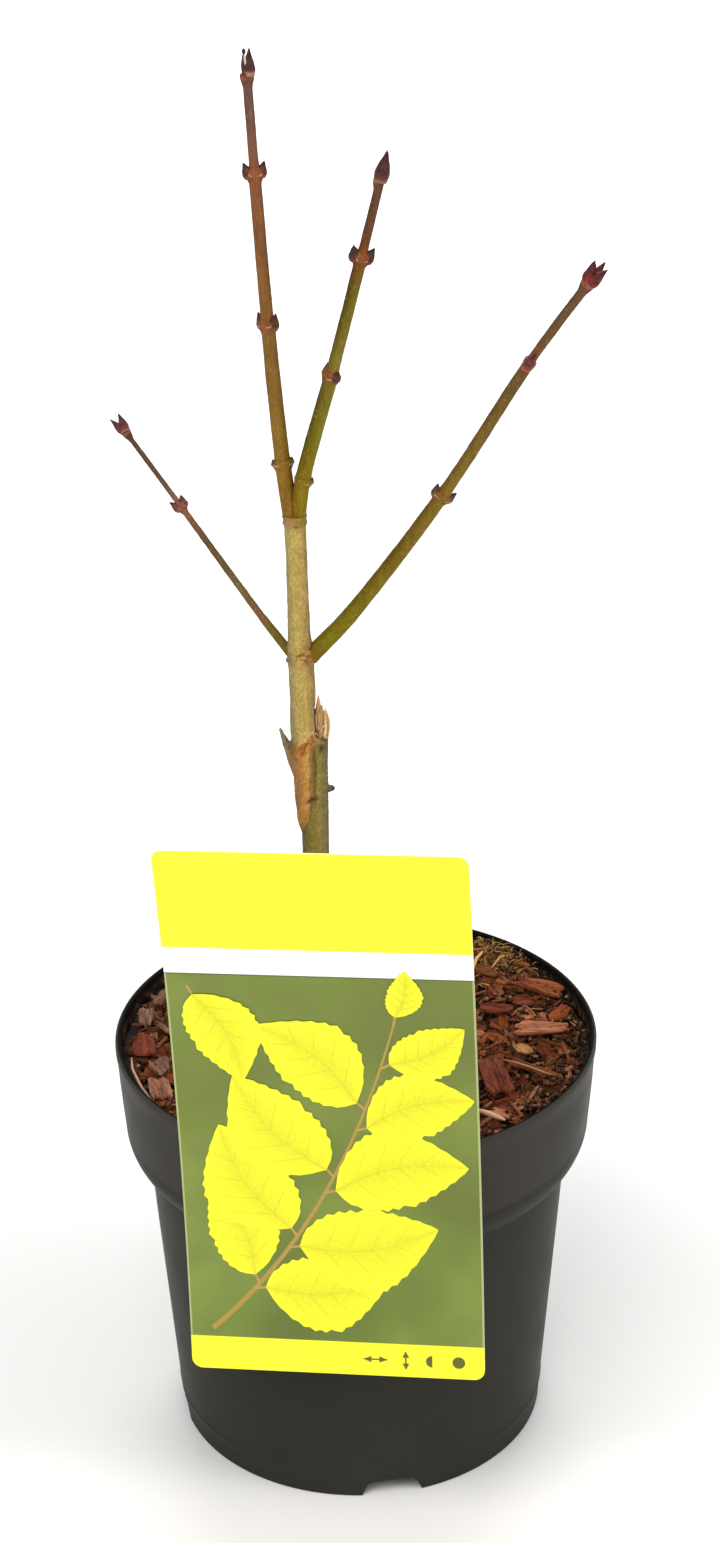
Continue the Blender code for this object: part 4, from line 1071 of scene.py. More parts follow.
def trunk_tints(points, dent):
    """Khaki scion, olive rootstock, orange-brown graft, torn tan stub and dark cuts; scion, rootstock, graft
    and collar painted lighter in the middle and darker at the sides as light and shade, with painted shade in
    the dents.
    """
    x, y, z = points.T
    warp = 0.8 * rough(points, (1.6, 1.6, 5.0), 3.1) + 0.4 * rough(points, (0.7, 0.7, 1.6), 8.4)
    across = x + warp
    patch = np.clip(0.5 + 0.9 * rough(points, (2.2, 2.2, 6.0), 12.6), 0, 1)[:, None]
    fleck = np.clip(0.5 + 1.1 * rough(points, (0.7, 0.7, 1.1), 44.0), 0, 1)[:, None]
    middle = np.interp(z, [point[2] for point in SCION_LINE], [point[0] for point in SCION_LINE])
    # The scion's own khaki, painted lighter down its middle and darker at both sides as light and shade.
    tint = bands(across - middle, [(-5.0, (140, 124, 84)), (-3.4, (166, 148, 96)), (-1.5, (186, 160, 92)),
                                   (1.5, (188, 156, 88)), (3.2, (168, 138, 82)), (4.8, (124, 108, 64))])
    tint = between(tint, tint * np.array((0.80, 0.84, 0.62)), 0.8 * patch)
    # The rootstock's own olive, painted lighter down its middle and darker at both sides as light and shade.
    stock = bands(across, [(-18.5, (100, 84, 48)), (-17.0, (124, 104, 44)), (-14.5, (136, 114, 50)),
                           (-12.0, (138, 122, 66)), (-10.0, (126, 110, 68)), (-8.8, (98, 86, 60))])
    stock = between(stock, stock * np.array((0.74, 0.82, 0.6)), patch)
    growth = hump((z + 1.5 * warp) % 7.0, 3.5, 0.4) * (z < 300) * between(0.12, 0.4, ease(262, 280, z))
    stock = stain(stock, (168, 150, 104), growth * (0.4 + 0.6 * patch[:, 0]))
    border = np.interp(z, (256, 264, 274, 286, 296), (-19.8, -17.6, -14.9, -14.7, -13.8))
    low = 1 - ease(268, 277, z + 0.5 * (x + 18.0))
    right = ease(-0.4, 0.4, across - border) * (1 - ease(299, 303, z))
    behind = ease(1.0, 3.0, y) * (1 - ease(296, 302, z))
    tint = stain(tint, stock, np.maximum(np.maximum(low, right), behind))
    # The graft's own orange-brown, painted lighter down its middle and darker at both sides as light and
    # shade.
    graft = bands(across, [(-21.8, (142, 104, 60)), (-20.5, (158, 112, 60)), (-19.3, (176, 122, 58)),
                           (-18.2, (190, 132, 66)), (-17.0, (198, 152, 82)), (-16.1, (184, 142, 74)),
                           (-15.2, (148, 110, 50)), (-14.4, (124, 100, 44))])
    graft = between(graft, graft * np.array((0.74, 0.66, 0.5)), 0.7 * patch)
    side = 1 - ease(-0.5, 0.5, across - border)
    on_graft = side * ease(260, 266, z + 2 * warp) * (1 - ease(299.5, 303.5, z + 0.45 * np.abs(x + 16.4)))
    on_graft = on_graft * (y < 0.8) * (z < 304)
    tint = stain(tint, graft, on_graft)
    run = np.clip(((x + 19.0) * 5.4 + (z - 295.6) * 5.0) / 54.2, 0, 1)
    away = np.hypot(x + 19.0 - 5.4 * run, z - 295.6 - 5.0 * run) + 0.7 * rough(points, (1.3, 1.3, 1.3), 71.0)
    rim = hump(away, 2.7, 0.7) * (z > 297.0 + 0.5 * np.abs(x + 18)) * (y < 0) * (x < -13.2)
    tint = stain(tint, (208, 168, 112), 0.75 * rim)
    spot = np.clip(0.5 + 1.6 * rough(points, (1.1, 1.1, 1.5), 71.0), 0, 1)[:, None]
    deep = between(srgb(190, 118, 50), srgb(116, 62, 20), spot)
    rich = (1 - ease(1.2, 2.4, away)) * (y < 0)
    tint = stain(tint, deep, 0.85 * rich)
    torn = ease(297.5, 301, z + warp) * ease(-13.9, -13.2, x) * (z < 325)
    tint = stain(tint, between(srgb(206, 176, 124), srgb(156, 120, 72), patch), torn)
    scars = ease(-0.12, 0.3, rough(points, (1.9, 1.9, 1.0), 91.0))
    side_joint = hump(np.hypot((x + 15.6) / 4.6, (z - 333.8) / 3.4), 0, 1.2) * (y < 2)
    tint = stain(tint, (176, 132, 70), 0.6 * side_joint)
    tint = stain(tint, (126, 76, 28), 0.85 * side_joint * scars)
    # The collar turns from orange-brown to olive across it, and is painted darker at both sides as shade.
    collar = bands(across, [(-23.5, (138, 112, 74)), (-20.5, (164, 122, 62)), (-18.5, (144, 114, 42)),
                            (-16.0, (126, 112, 38))])
    tint = stain(tint, collar, 0.85 * ease(383.0, 385.6, z))
    grey = hump(np.hypot(x + 23.4, (z - 332.0)), 0, 1.8)
    tint = stain(tint, (104, 92, 80), 0.8 * grey)
    spur = (1 - ease(-23.3, -22.6, x)) * hump(z, 298, 9.0) * (z < 312)
    tint = stain(tint, bands(z, [(288, (140, 122, 72)), (298, (118, 104, 70)), (304, (132, 120, 104))]), spur)
    nub = ease(-8.4, -7.6, x) * hump(z, NUB[2], 3.0)
    tint = stain(tint, stain(srgb(66, 58, 48), (128, 116, 92), ease(-6.9, -6.5, x)), nub)
    tint = tint * between(0.82, 1.12, fleck)
    # Darker towards the foot, down to the mulch.
    darker_foot = 1 - ease(164, 182, z)
    tint = tint * (1 - 0.35 * darker_foot[:, None])
    # Dents darkened by their depth: the old cuts and scars in their own darker colour, and painted shade in
    # the cleft, gaps, holes and pits.
    return stain(tint, (62, 34, 12), np.clip(dent * 1.5, 0, 0.85))


def make_trunk(material):
    """The trunk's pieces grown into one skin, with bark relief pressed into it."""
    blank = trunk_blank()
    knobs = Shape()
    add_knob(knobs, NUB, (1.0, -0.25, 0.2), 2.4, 3.2)
    add_knob(knobs, BUMP, (-1.0, -0.3, 0.15), 1.3, 2.6)
    extra = knobs.build("knobs", [])
    bm = bmesh.new()
    bm.from_mesh(blank.data)
    bm.from_mesh(extra.data)
    bmesh.ops.bisect_plane(bm, geom=list(bm.verts) + list(bm.edges) + list(bm.faces),
                           plane_co=(0, 0, GROUND * MM), plane_no=(0, 0, 1), clear_inner=True)
    bmesh.ops.holes_fill(bm, edges=[edge for edge in bm.edges if edge.is_boundary])
    bm.to_mesh(blank.data)
    bm.free()
    bpy.data.objects.remove(extra, do_unlink=True)
    grown = blank.modifiers.new("skin", "REMESH")
    grown.mode = "VOXEL"
    grown.voxel_size = BARK_VOXEL * MM
    soften = blank.modifiers.new("soften", "SMOOTH")
    soften.factor = 0.5
    soften.iterations = BARK_PASSES
    mesh = evaluated(blank)
    points = read(mesh.vertices, "co") / MM
    normals = read(mesh.vertices, "normal")
    dent = trunk_dent(points)
    lift = rough(points, (0.9, 0.9, 2.6)) * 0.10 + rough(points, (2.6, 2.6, 8.0), 11.0) * 0.22
    lift += 0.18 * rough(points, (0.55, 0.55, 0.8), 5.0) * ease(262, 268, points[:, 2]) * (points[:, 2] < 312)
    lift += 0.08 * rough(points, (5.0, 5.0, 0.7), 2.0)
    lift *= ease(GROUND, GROUND + 1.0, points[:, 2])
    points = points + normals * (lift - dent)[:, None]
    points[:, 2] = np.maximum(points[:, 2], GROUND)
    mesh.vertices.foreach_set("co", (points * MM).ravel())
    for attribute in [a.name for a in mesh.color_attributes]:
        mesh.color_attributes.remove(mesh.color_attributes[attribute])
    paint(mesh, trunk_tints(points, dent))
    coat(mesh, material)
    mesh.shade_smooth()
    return dress(add_object("trunk_bark", mesh), "trunk_bark", "trunk")


def make_fibres(material):
    """Torn fibres that stand on the stub beside the graft."""
    shape = Shape()
    rng = random.Random(SEEDS["fibres"])
    fibres = list(TALL_FIBRES)
    for _ in range(SHORT_FIBRES):
        x, y = rng.uniform(-13.6, -8.9), rng.uniform(-2.6, 3.0)
        rise = rng.uniform(1.0, 6.0)
        tip = (x + rng.uniform(-0.5, 0.6), y + rng.uniform(-0.5, 0.5), 304.5 + rise)
        fibres.append(((x, y, 300.0), tip, rng.uniform(0.3, 0.7)))
    for foot, tip, width in fibres:
        foot, tip = np.array(foot), np.array(tip)
        bend = np.array((rng.uniform(-0.7, 0.7), rng.uniform(-0.5, 0.5), 0.0))
        steps = np.linspace(0, 1, 8)
        points = [foot + (tip - foot) * s + bend * math.sin(math.pi * s) for s in steps]
        radii = width * (1 - 0.85 * steps ** 3) * np.array([rng.uniform(0.8, 1.1) for _ in steps])
        tone = srgb(*rng.choice([(210, 176, 118), (192, 154, 98), (166, 128, 74), (216, 190, 142)]))
        tube(shape, points, radii, 7, tone)
    for _ in range(FRAYS):
        angle = rng.uniform(-2.6, -0.4)
        x, y = -14.0 + 4.9 * math.cos(angle), 1.2 + 4.6 * math.sin(angle)
        z = rng.uniform(296.0, 303.5)
        lean = rng.uniform(-1.6, 1.6)
        points = [(x, y, z), (x + lean * 0.5, y - 0.3, z + 1.2), (x + lean, y - 0.1, z + 2.2)]
        tone = srgb(*rng.choice([(206, 166, 140), (164, 118, 82), (100, 62, 34)]))
        tube(shape, points, [0.35, 0.3, 0.08], 5, tone)
    return dress(shape.build("torn_fibres", [material]), "trunk_bark")


# Mulch

def bed_height(x, y):
    """Height of the bark bed, which heaps up at the back right and banks up against both sides of the pot."""
    heap = HEAP[3] * math.exp(-((x - HEAP[0]) ** 2 + (y - HEAP[1]) ** 2) / HEAP[2] ** 2)
    bank = BANK[0] * ease(BANK[1], BANK[2], math.hypot(x, y)) * ease(30.0, 60.0, abs(x))
    return MULCH_LEVEL - 1.0 + 1.3 * noise.noise((x / 17, y / 17, 0.0)) + heap + float(bank)


def mulch_room(x, y, reach):
    """True where something of that reach stays inside the pot, off the trunk and off the card's hanger."""
    if math.hypot(x, y) + reach > RIM_RADIUS - LIP_THICKNESS - 0.8:
        return False
    if math.hypot(x - TRUNK_FOOT[0], y - TRUNK_FOOT[1]) < 9.5 + 0.75 * reach:
        return False
    outward = x * math.cos(CARD_SIDE) + y * math.sin(CARD_SIDE)
    across = -x * math.sin(CARD_SIDE) + y * math.cos(CARD_SIDE)
    return not (outward + reach > RIM_RADIUS - 6.0 and abs(across) < 16.0)


def flake(rng, length, width, thickness, sides, rings):
    """Points and faces of a bark flake that lies flat: uneven outline, ridged top, curled a little."""
    angles = round_turns(sides)
    cos, sin = np.cos(angles), np.sin(angles)
    blunt, shear, taper = rng.uniform(0.4, 0.75), rng.uniform(-0.6, 0.6), rng.uniform(-0.4, 0.4)
    wear = np.array([rng.uniform(0.94 - 0.3 * c * c, 1.06) for c in cos])
    edge = np.stack([np.sign(cos) * np.abs(cos) ** blunt * length / 2 * wear,
                     np.sign(sin) * np.abs(sin) ** blunt * width / 2 * rng.uniform(0.94, 1.06)], 1)
    edge[:, 1] *= 1 + taper * 2 * edge[:, 0] / length
    edge[:, 0] += shear * edge[:, 1]
    curl, twist = rng.uniform(-0.10, 0.16), rng.uniform(-0.25, 0.25)
    ridge, phase = rng.uniform(1.2, 2.6), rng.uniform(0, 6)
    steps = [(1.0, 0.0), (0.96, 0.75)] + [(1.0 - (i + 1) / (rings + 1), 1.0) for i in range(rings)]
    points = [np.column_stack([edge * 0.9, np.full(sides, -0.35 * thickness)])]
    for share, rise in steps:
        level = np.array([rng.uniform(0.72, 1.15) for _ in angles]) * rise * thickness / 2
        points.append(np.column_stack([edge * share, level]))
    points.append(np.array([[0, 0, thickness * rng.uniform(0.35, 0.6)], [0, 0, -0.35 * thickness]]))
    points = np.concatenate(points)
    top = points[:, 2] > 0
    points[top, 2] += 0.16 * thickness * np.sin(points[top, 1] / width * 2 * math.pi * ridge + phase)
    points[:, 2] += (curl * width * (2 * points[:, 1] / width) ** 2
                     - curl * length * (points[:, 0] / length) ** 2)
    points[:, 2] += twist * points[:, 0] * points[:, 1] / length
    rows = len(steps) + 1
    faces = grid_faces(rows, sides, closed=True)
    last = (rows - 1) * sides
    middle = rows * sides
    faces += [(last + i, last + (i + 1) % sides, middle) for i in range(sides)]
    faces += [((i + 1) % sides, i, middle + 1) for i in range(sides)]
    return points, faces


def flake_grain(rng, points):
    """The flake's own coordinates from a random start, as shares of GRAIN_ROOM, for its fibres."""
    start = [rng.uniform(0.15, 0.85) for _ in range(3)]
    return start + points / GRAIN_ROOM


def turn_to(rng, tilt, heading=None):
    """A rotation with a random heading and a tilt of up to about tilt degrees."""
    heading = rng.uniform(0, 2 * math.pi) if heading is None else heading
    about = rng.uniform(0, 2 * math.pi)
    lean = math.radians(rng.gauss(0, tilt))
    axis = Vector((math.cos(about), math.sin(about), 0))
    return np.array(Matrix.Rotation(lean, 3, axis) @ Matrix.Rotation(heading, 3, "Z"))


def scatter(shape, rng, count, lengths, flatness, tilt, rise, sides, rings, slots, widths):
    """Flakes strewn over the bed, each kept inside the pot."""
    made = 0
    while made < count:
        radius = RIM_RADIUS * math.sqrt(rng.random())
        angle = rng.uniform(0, 2 * math.pi)
        x, y = radius * math.cos(angle), radius * math.sin(angle)
        length = rng.uniform(*lengths)
        width = length * rng.uniform(*widths)
        if not mulch_room(x, y, length * 0.5):
            continue
        points, faces = flake(rng, length, width, width * rng.uniform(*flatness), sides, rings)
        grain = flake_grain(rng, points)
        points = points @ turn_to(rng, tilt).T
        points += (x, y, bed_height(x, y) + rng.uniform(*rise))
        low = points[:, 2].min()
        points[:, 2] += max(0.0, MULCH_LEVEL - 6.0 - low)
        excess = points[:, 2].max() - (MULCH_TOP + 0.6 * (bed_height(x, y) - MULCH_LEVEL + 1.0))
        points[:, 2] -= max(0.0, excess)
        slot = rng.choice(slots)
        # Painted shade: most flakes on the left side take darker tones.
        if x < PAINTED_SHADE_SIDE and made % 3:
            slot = DARKER.get(slot, slot)
        shape.add(points, faces, grain, slot)
        made += 1


def make_mulch():
    """Bark flakes of several sizes and tones over a dark bed."""
    tones = flake_materials("bark", BARK_TONES, 0.8)
    small = Shape()
    rng = random.Random(SEEDS["slivers"])
    for kind in SLIVERS:
        scatter(small, rng, *kind)
    dress(small.build("bark_slivers", tones, smooth=False), "bark_mulch", "bark_mulch")
    large = Shape()
    rng = random.Random(SEEDS["flakes"])
    for kind in FLAKES:
        scatter(large, rng, *kind)
    for start, end, width, level, slot in SHARDS:
        along = np.array(end) - np.array(start)
        length = float(np.linalg.norm(along))
        points, faces = flake(rng, length, width, width * 0.26, 22, 2)
        grain = flake_grain(rng, points)
        points = points @ turn_to(rng, 5, math.atan2(along[1], along[0])).T
        points += (*((np.array(start) + np.array(end)) / 2), level)
        large.add(points, faces, grain, slot)
    dress(large.build("bark_flakes", tones, smooth=False), "bark_mulch", "bark_mulch")


def make_bed(material):
    """Dark crumbly surface under the flakes."""
    shape = Shape()
    rings, sides = 46, 96
    outer = RIM_RADIUS - LIP_THICKNESS - 0.5
    points = []
    for i in range(rings):
        for j in range(sides):
            radius = outer * (i + 1) / rings
            angle = 2 * math.pi * j / sides
            x, y = radius * math.cos(angle), radius * math.sin(angle)
            points.append((x, y, bed_height(x, y) - 0.6 + 0.9 * noise.noise((x / 2.2, y / 2.2, 4.0))))
    size = rings * sides
    below = [(x, y, MULCH_LEVEL - 7.0) for x, y, _ in points[-sides:]]
    points += below
    faces = grid_faces(rings, sides, closed=True)
    faces += [(size - sides + j, size - sides + (j + 1) % sides, size + (j + 1) % sides, size + j)
              for j in range(sides)]
    faces.append(tuple(reversed(range(sides))))
    faces.append(tuple(reversed(range(size, size + sides))))
    shape.add(points, [tuple(reversed(face)) for face in faces])
    return dress(shape.build("mulch_bed", [material]), "bark_mulch", "bark_mulch")


def make_crumbs():
    """Crumbs of compost between the flakes, thicker at the right edge."""
    tones = flake_materials("crumb", CRUMB_TONES, 0.95)
    shape = Shape()
    rng = random.Random(SEEDS["crumbs"])
    bm = bmesh.new()
    bmesh.ops.create_icosphere(bm, subdivisions=1, radius=1.0)
    ball = np.array([vert.co[:] for vert in bm.verts])
    faces = [tuple(vert.index for vert in face.verts) for face in bm.faces]
    bm.free()
    made = 0
    while made < CRUMB_COUNT:
        if made % 5 < 2:
            angle, radius = rng.uniform(-0.75, 0.55), rng.uniform(66.0, 92.0)
        else:
            angle, radius = rng.uniform(0, 2 * math.pi), RIM_RADIUS * math.sqrt(rng.random())
        x, y = radius * math.cos(angle), radius * math.sin(angle)
        size = rng.uniform(0.4, 1.25)
        if not mulch_room(x, y, size):
            continue
        lumps = np.array([rng.uniform(0.65, 1.2) for _ in ball])[:, None]
        stretch = (rng.uniform(0.8, 1.5), rng.uniform(0.7, 1.1), rng.uniform(0.6, 1.0))
        points = ball * lumps * stretch * size
        grain = flake_grain(rng, points)
        points = points @ turn_to(rng, 30).T
        points += (x, y, bed_height(x, y) + rng.uniform(0.2, 4.2))
        shape.add(points, faces, grain, rng.choice([0, 0, 0, 1, 1, 2]))
        made += 1
    return dress(shape.build("compost_crumbs", tones, smooth=False), "compost")


def make_strands(material):
    """Mossy fibres on the heap, pale straws and splinters among the flakes."""
    shape = Shape()
    rng = random.Random(SEEDS["strands"])
    for _ in range(MOSS_COUNT):
        x = rng.gauss(HEAP[0] + 2.0, 11.0)
        y = rng.gauss(HEAP[1] - 2.0, 11.0)
        if not mulch_room(x, y, 1.5):
            continue
        base = np.array((x, y, bed_height(x, y) + rng.uniform(1.0, 4.0)))
        heading = rng.uniform(0, 2 * math.pi)
        reach, rise = rng.uniform(1.2, 4.0), rng.uniform(0.2, 1.6)
        steps = np.linspace(0, 1, 5)
        out = np.array((math.cos(heading), math.sin(heading), 0.0))
        bend = np.array((-out[1], out[0], 0.0)) * rng.uniform(-2, 2)
        points = [base + out * reach * s + bend * s * s + (0, 0, rise * math.sin(math.pi * 0.7 * s))
                  for s in steps]
        tone = srgb(*rng.choice(MOSS_TONES))
        width = rng.uniform(0.16, 0.42)
        tube(shape, points, width * (1 - 0.8 * steps), 5, tone)
    for line, width, tone in STRAWS:
        line = np.array(line)
        share = np.linspace(0, 1, len(line))
        steps = np.linspace(0, 1, 14)
        points = np.stack([np.interp(steps, share, line[:, axis]) for axis in range(3)], 1)
        tube(shape, points, width * (1 - 0.6 * np.abs(2 * steps - 1) ** 2.5), 8, srgb(*tone))
    return dress(shape.build("moss_and_straws", [material]), "bark_mulch")


# Pot

def arc(centre, radius, start, end, count):
    """Points on an arc of a profile, from start to end degrees."""
    turns = [math.radians(between(start, end, i / count)) for i in range(count + 1)]
    return [(centre[0] + radius * math.cos(turn), centre[1] + radius * math.sin(turn)) for turn in turns]


def wall_radius(height):
    """Outer radius of the straight wall between the foot and the shoulder."""
    return between(FOOT_RADIUS, SHOULDER[0], height / SHOULDER[1])


def shoulder(share, inset=0.0):
    """Place on the curve from the collar's foot down to the shoulder, or as far inside it as inset."""
    step = COLLAR_FOOT[0] - SHOULDER[0]
    drop = COLLAR_FOOT[1] - SHOULDER[1]
    return COLLAR_FOOT[0] - step * share ** SHOULDER_CURVE - inset, COLLAR_FOOT[1] - drop * share


def pot_profile():
    """Section of the pot from the middle of its floor, up inside, over the lip, down outside and under."""
    shelf = CHANNEL_HEIGHT + WALL
    shelf_radius = wall_radius(shelf) - WALL
    profile = [(0.0, WALL), (CHANNEL_INNER_RADIUS - CHANNEL_SLOPE, WALL), (CHANNEL_INNER_RADIUS, shelf)]
    profile += [(shelf_radius - 1.0, shelf), (shelf_radius, shelf + 1.0),
                (SHOULDER[0] - WALL, SHOULDER[1] + 0.5)]
    profile += [shoulder(i / 7, WALL) for i in range(6, -1, -1)]
    lip = RIM_RADIUS - LIP_THICKNESS
    profile += [(lip - 0.2, POT_HEIGHT - LIP_DEPTH - 1.2), (lip, POT_HEIGHT - LIP_DEPTH)]
    profile += arc((lip + 0.8, POT_HEIGHT - 0.8), 0.8, 180, 90, 4)
    profile += arc((RIM_RADIUS - 0.9, POT_HEIGHT - 0.9), 0.9, 90, 0, 5)
    profile += [(RIM_RADIUS - 0.05, POT_HEIGHT - 3.4), (RIM_RADIUS - 0.45, POT_HEIGHT - 4.1)]
    for i in range(1, 5):
        height = between(POT_HEIGHT - 4.1, COLLAR_FOOT[1], i / 5)
        radius = between(RIM_RADIUS - 0.45, COLLAR_FOOT[0], i / 5) + 0.18 * math.sin(math.pi * i / 5)
        profile.append((radius, height))
    profile += [shoulder(i / 14) for i in range(15)]
    profile += [(SHOULDER[0] - 0.15, SHOULDER[1] - 0.5), (SHOULDER[0] - 0.25, SHOULDER[1] - 2.0)]
    profile += [(wall_radius(height), height) for height in (90.0, 60.0, 30.0, 16.0)]
    for i in range(9):
        height = FOOT_BEAD_HEIGHT + 2.0 - i / 2
        swell = FOOT_BEAD * math.cos(math.pi / 4 * (i - 4) / 2) ** 2
        profile.append((wall_radius(height) + swell, height))
    profile.append((FOOT_RADIUS + 0.2, 3.0))
    profile += arc((FOOT_RADIUS - 0.75, 0.9), 0.9, 0, -90, 4)
    ring = FOOT_RADIUS - FOOT_RING_WIDTH
    inner = CHANNEL_INNER_RADIUS + WALL
    profile += [(ring + 0.3, 0.0), (ring, 0.3), (ring, CHANNEL_HEIGHT), (inner, CHANNEL_HEIGHT)]
    profile += [(inner - CHANNEL_SLOPE, 0.0), (0.0, 0.0)]
    return profile


def cutter(name, mesh, compass, reach, height):
    """A cutting body turned to a compass angle, at a reach from the axis."""
    item = add_object(name, mesh)
    angle = math.radians(compass)
    item.matrix_world = (Matrix.Rotation(angle, 4, "Z") @ Matrix.Translation((reach * MM, 0, height * MM)))
    return item


def notch_mesh():
    """A wedge-sided block with rounded edges, wider at the ground."""
    bm = bmesh.new()
    bmesh.ops.create_cube(bm, size=1.0)
    for vert in bm.verts:
        high = vert.co.z > 0
        width = NOTCH_WIDTHS[1] if high else 2 * NOTCH_WIDTHS[0] - NOTCH_WIDTHS[1]
        level = CHANNEL_HEIGHT if high else -CHANNEL_HEIGHT
        vert.co = Vector((vert.co.x * 12.0, vert.co.y * width, level)) * MM
    upright = [edge for edge in bm.edges if all(vert.co.z > 0 for vert in edge.verts)
               and abs(edge.verts[0].co.y - edge.verts[1].co.y) < 1e-6]
    bmesh.ops.bevel(bm, geom=upright, offset=2.2 * MM, segments=4, profile=0.5, affect="EDGES")
    return mesh_of(bm, "notch")


def scoop_mesh():
    """A flat egg that hollows the wall over a notch."""
    bm = bmesh.new()
    bmesh.ops.create_uvsphere(bm, u_segments=24, v_segments=14, radius=1.0)
    for vert in bm.verts:
        vert.co = Vector((vert.co.x * 1.9, vert.co.y * 10.5, vert.co.z * 4.2)) * MM
    return mesh_of(bm, "scoop")


def drain_mesh():
    bm = bmesh.new()
    radius = DRAIN_RADIUS * MM
    bmesh.ops.create_cone(bm, cap_ends=True, segments=24, radius1=radius, radius2=radius,
                          depth=2 * CHANNEL_HEIGHT * MM)
    return mesh_of(bm, "drain")


def make_pot(material):
    """The pot turned finely from its section, with its notches, scoops and drain holes cut."""
    profile = pot_profile()
    mesh = bpy.data.meshes.new("pot_section")
    points = [(radius * MM, 0.0, height * MM) for radius, height in profile]
    mesh.from_pydata(points, [(i, i + 1) for i in range(len(points) - 1)], [])
    turned = add_object("pot_turned", mesh)
    screw = turned.modifiers.new("turn", "SCREW")
    screw.steps = POT_STEPS
    screw.render_steps = POT_STEPS
    screw.use_merge_vertices = True
    screw.merge_threshold = 0.00001
    cutters = []
    for i in range(NOTCH_COUNT):
        compass = NOTCH_COMPASS + i * 360 / NOTCH_COUNT
        cutters.append(cutter(f"notch_{i}", notch_mesh(), compass, FOOT_RADIUS, 0.0))
        cutters.append(cutter(f"scoop_{i}", scoop_mesh(), compass, FOOT_RADIUS + 2.0, CHANNEL_HEIGHT + 1.0))
    for i in range(DRAIN_COUNT):
        compass = NOTCH_COMPASS + (i + 0.5) * 360 / DRAIN_COUNT
        cutters.append(cutter(f"drain_{i}", drain_mesh(), compass, DRAIN_CIRCLE, CHANNEL_HEIGHT))
    tools = bpy.data.collections.new("cutters")
    bpy.context.scene.collection.children.link(tools)
    for item in cutters:
        bpy.context.scene.collection.objects.unlink(item)
        tools.objects.link(item)
    cut = turned.modifiers.new("cut", "BOOLEAN")
    cut.operation = "DIFFERENCE"
    cut.operand_type = "COLLECTION"
    cut.collection = tools
    cut.solver = "EXACT"
    cut.use_self = True
    mesh = in_order(evaluated(turned))
    for item in cutters:
        bpy.data.objects.remove(item, do_unlink=True)
    bpy.data.collections.remove(tools)
    coat(mesh, material)
    mesh.shade_smooth()
    mesh.set_sharp_from_angle(angle=math.radians(POT_CREASE))
    return dress(add_object("pot_shell", mesh), "pot_plastic", "pot")


# Card

def card_frame():
    """Matrix from the card's own axes (across, back, up from its middle) to the world, in millimetres."""
    seat = RIM_RADIUS + CARD_BOW + CARD_THICKNESS / 2 + 0.3
    place = Vector((math.cos(CARD_SIDE) * seat, math.sin(CARD_SIDE) * seat, 0.0))
    turn = Matrix.Rotation(CARD_SIDE + math.pi / 2, 4, "Z")
    lean = Matrix.Translation((CARD_SHIFT, 0, CARD_MIDDLE)) @ Matrix.Rotation(-CARD_LEAN, 4, "Y")
    return np.array(Matrix.Translation(place) @ turn @ lean)


CARD_FRAME = card_frame()


def on_card(across, height, lift=0.0):
    """Places on the card's front, from its middle line and its foot, lifted towards the viewer."""
    across, height = np.broadcast_arrays(np.asarray(across, float), np.asarray(height, float))
    share = 2 * height / CARD_HEIGHT - 1
    back = CARD_BOW * (1 - share * share) - CARD_THICKNESS / 2 - lift
    local = np.stack([across, back, height - CARD_HEIGHT / 2, np.ones_like(across)], -1)
    return (local @ CARD_FRAME.T)[..., :3]


def card_rows():
    """Heights of the card's rows with the half width at each: round corners and a row at each band edge."""
    corner = [(CARD_CORNER * (1 - math.cos(t)), CARD_CORNER * (1 - math.sin(t)))
              for t in np.linspace(0, math.pi / 2, 7)]
    rows = [(height, CARD_WIDTH / 2 - inset) for height, inset in corner]
    stops = [CARD_CORNER, FOOTER_TOP, FIELD_TOP, STRIP_TOP, CARD_HEIGHT - CARD_CORNER]
    for low, high in zip(stops, stops[1:]):
        count = max(1, round((high - low) / 4.5))
        rows += [(between(low, high, (i + 1) / count), CARD_WIDTH / 2) for i in range(count)]
    rows += [(CARD_HEIGHT - height, CARD_WIDTH / 2 - inset) for height, inset in reversed(corner[:-1])]
    return rows


def make_card():
    """The card with its printed bands, white back and pale edge."""
    yellow = print_material("print_yellow", (246, 246, 28), (246, 243, 38))
    green = printed("print_green", field_colour)
    white = print_material("print_white", (252, 252, 250), (246, 246, 244))
    edge = print_material("card_edge", (238, 234, 216), (222, 216, 196))
    rows = card_rows()
    columns = 13
    across = np.linspace(-1, 1, columns)
    front, back = (np.concatenate([on_card(across * half, np.full(columns, height), lift)
                                   for height, half in rows]) for lift in (0.0, -CARD_THICKNESS))
    shape = Shape()
    size = len(front)
    shape.add(np.concatenate([front, back]), [])
    for i in range(len(rows) - 1):
        middle = (rows[i][0] + rows[i + 1][0]) / 2
        slot = 0 if middle < FOOTER_TOP or middle > STRIP_TOP else 1 if middle < FIELD_TOP else 2
        for j in range(columns - 1):
            a = i * columns + j
            shape.faces += [[a, a + 1, a + columns + 1, a + columns],
                            [a + size, a + columns + size, a + columns + 1 + size, a + 1 + size]]
            shape.slots += [slot, 2]
    sides = edge_faces(len(rows), columns, size)
    shape.faces += [list(face) for face in sides]
    shape.slots += [3] * len(sides)
    card = shape.build("card", [yellow, green, white, edge], crease=40)
    return dress(card, "label_print", "label_card")


SPRIG = ((-47.0, 17.0), (2.0, 62.0), (26.0, 148.0))
# Leaves as (share of the stem, heading in degrees, length), and one that hangs as (foot, heading, length)
LEAVES = [(0.18, 7, 48), (0.34, 10, 53), (0.53, 13, 51), (0.72, 18, 42), (0.89, 30, 32), (0.2, 112, 40),
          (0.38, 120, 50), (0.58, 130, 51), (0.78, 138, 48), (1.0, 78, 20)]
HANGING_LEAF = ((-48.0, 163.0), -66, 40)


def stem_place(share):
    """Point on the printed sprig's stem, which climbs from the field's lower left corner."""
    start, bend, end = (np.array(point) for point in SPRIG)
    rest = 1 - share
    return start * rest ** 2 + bend * 2 * rest * share + end * share ** 2


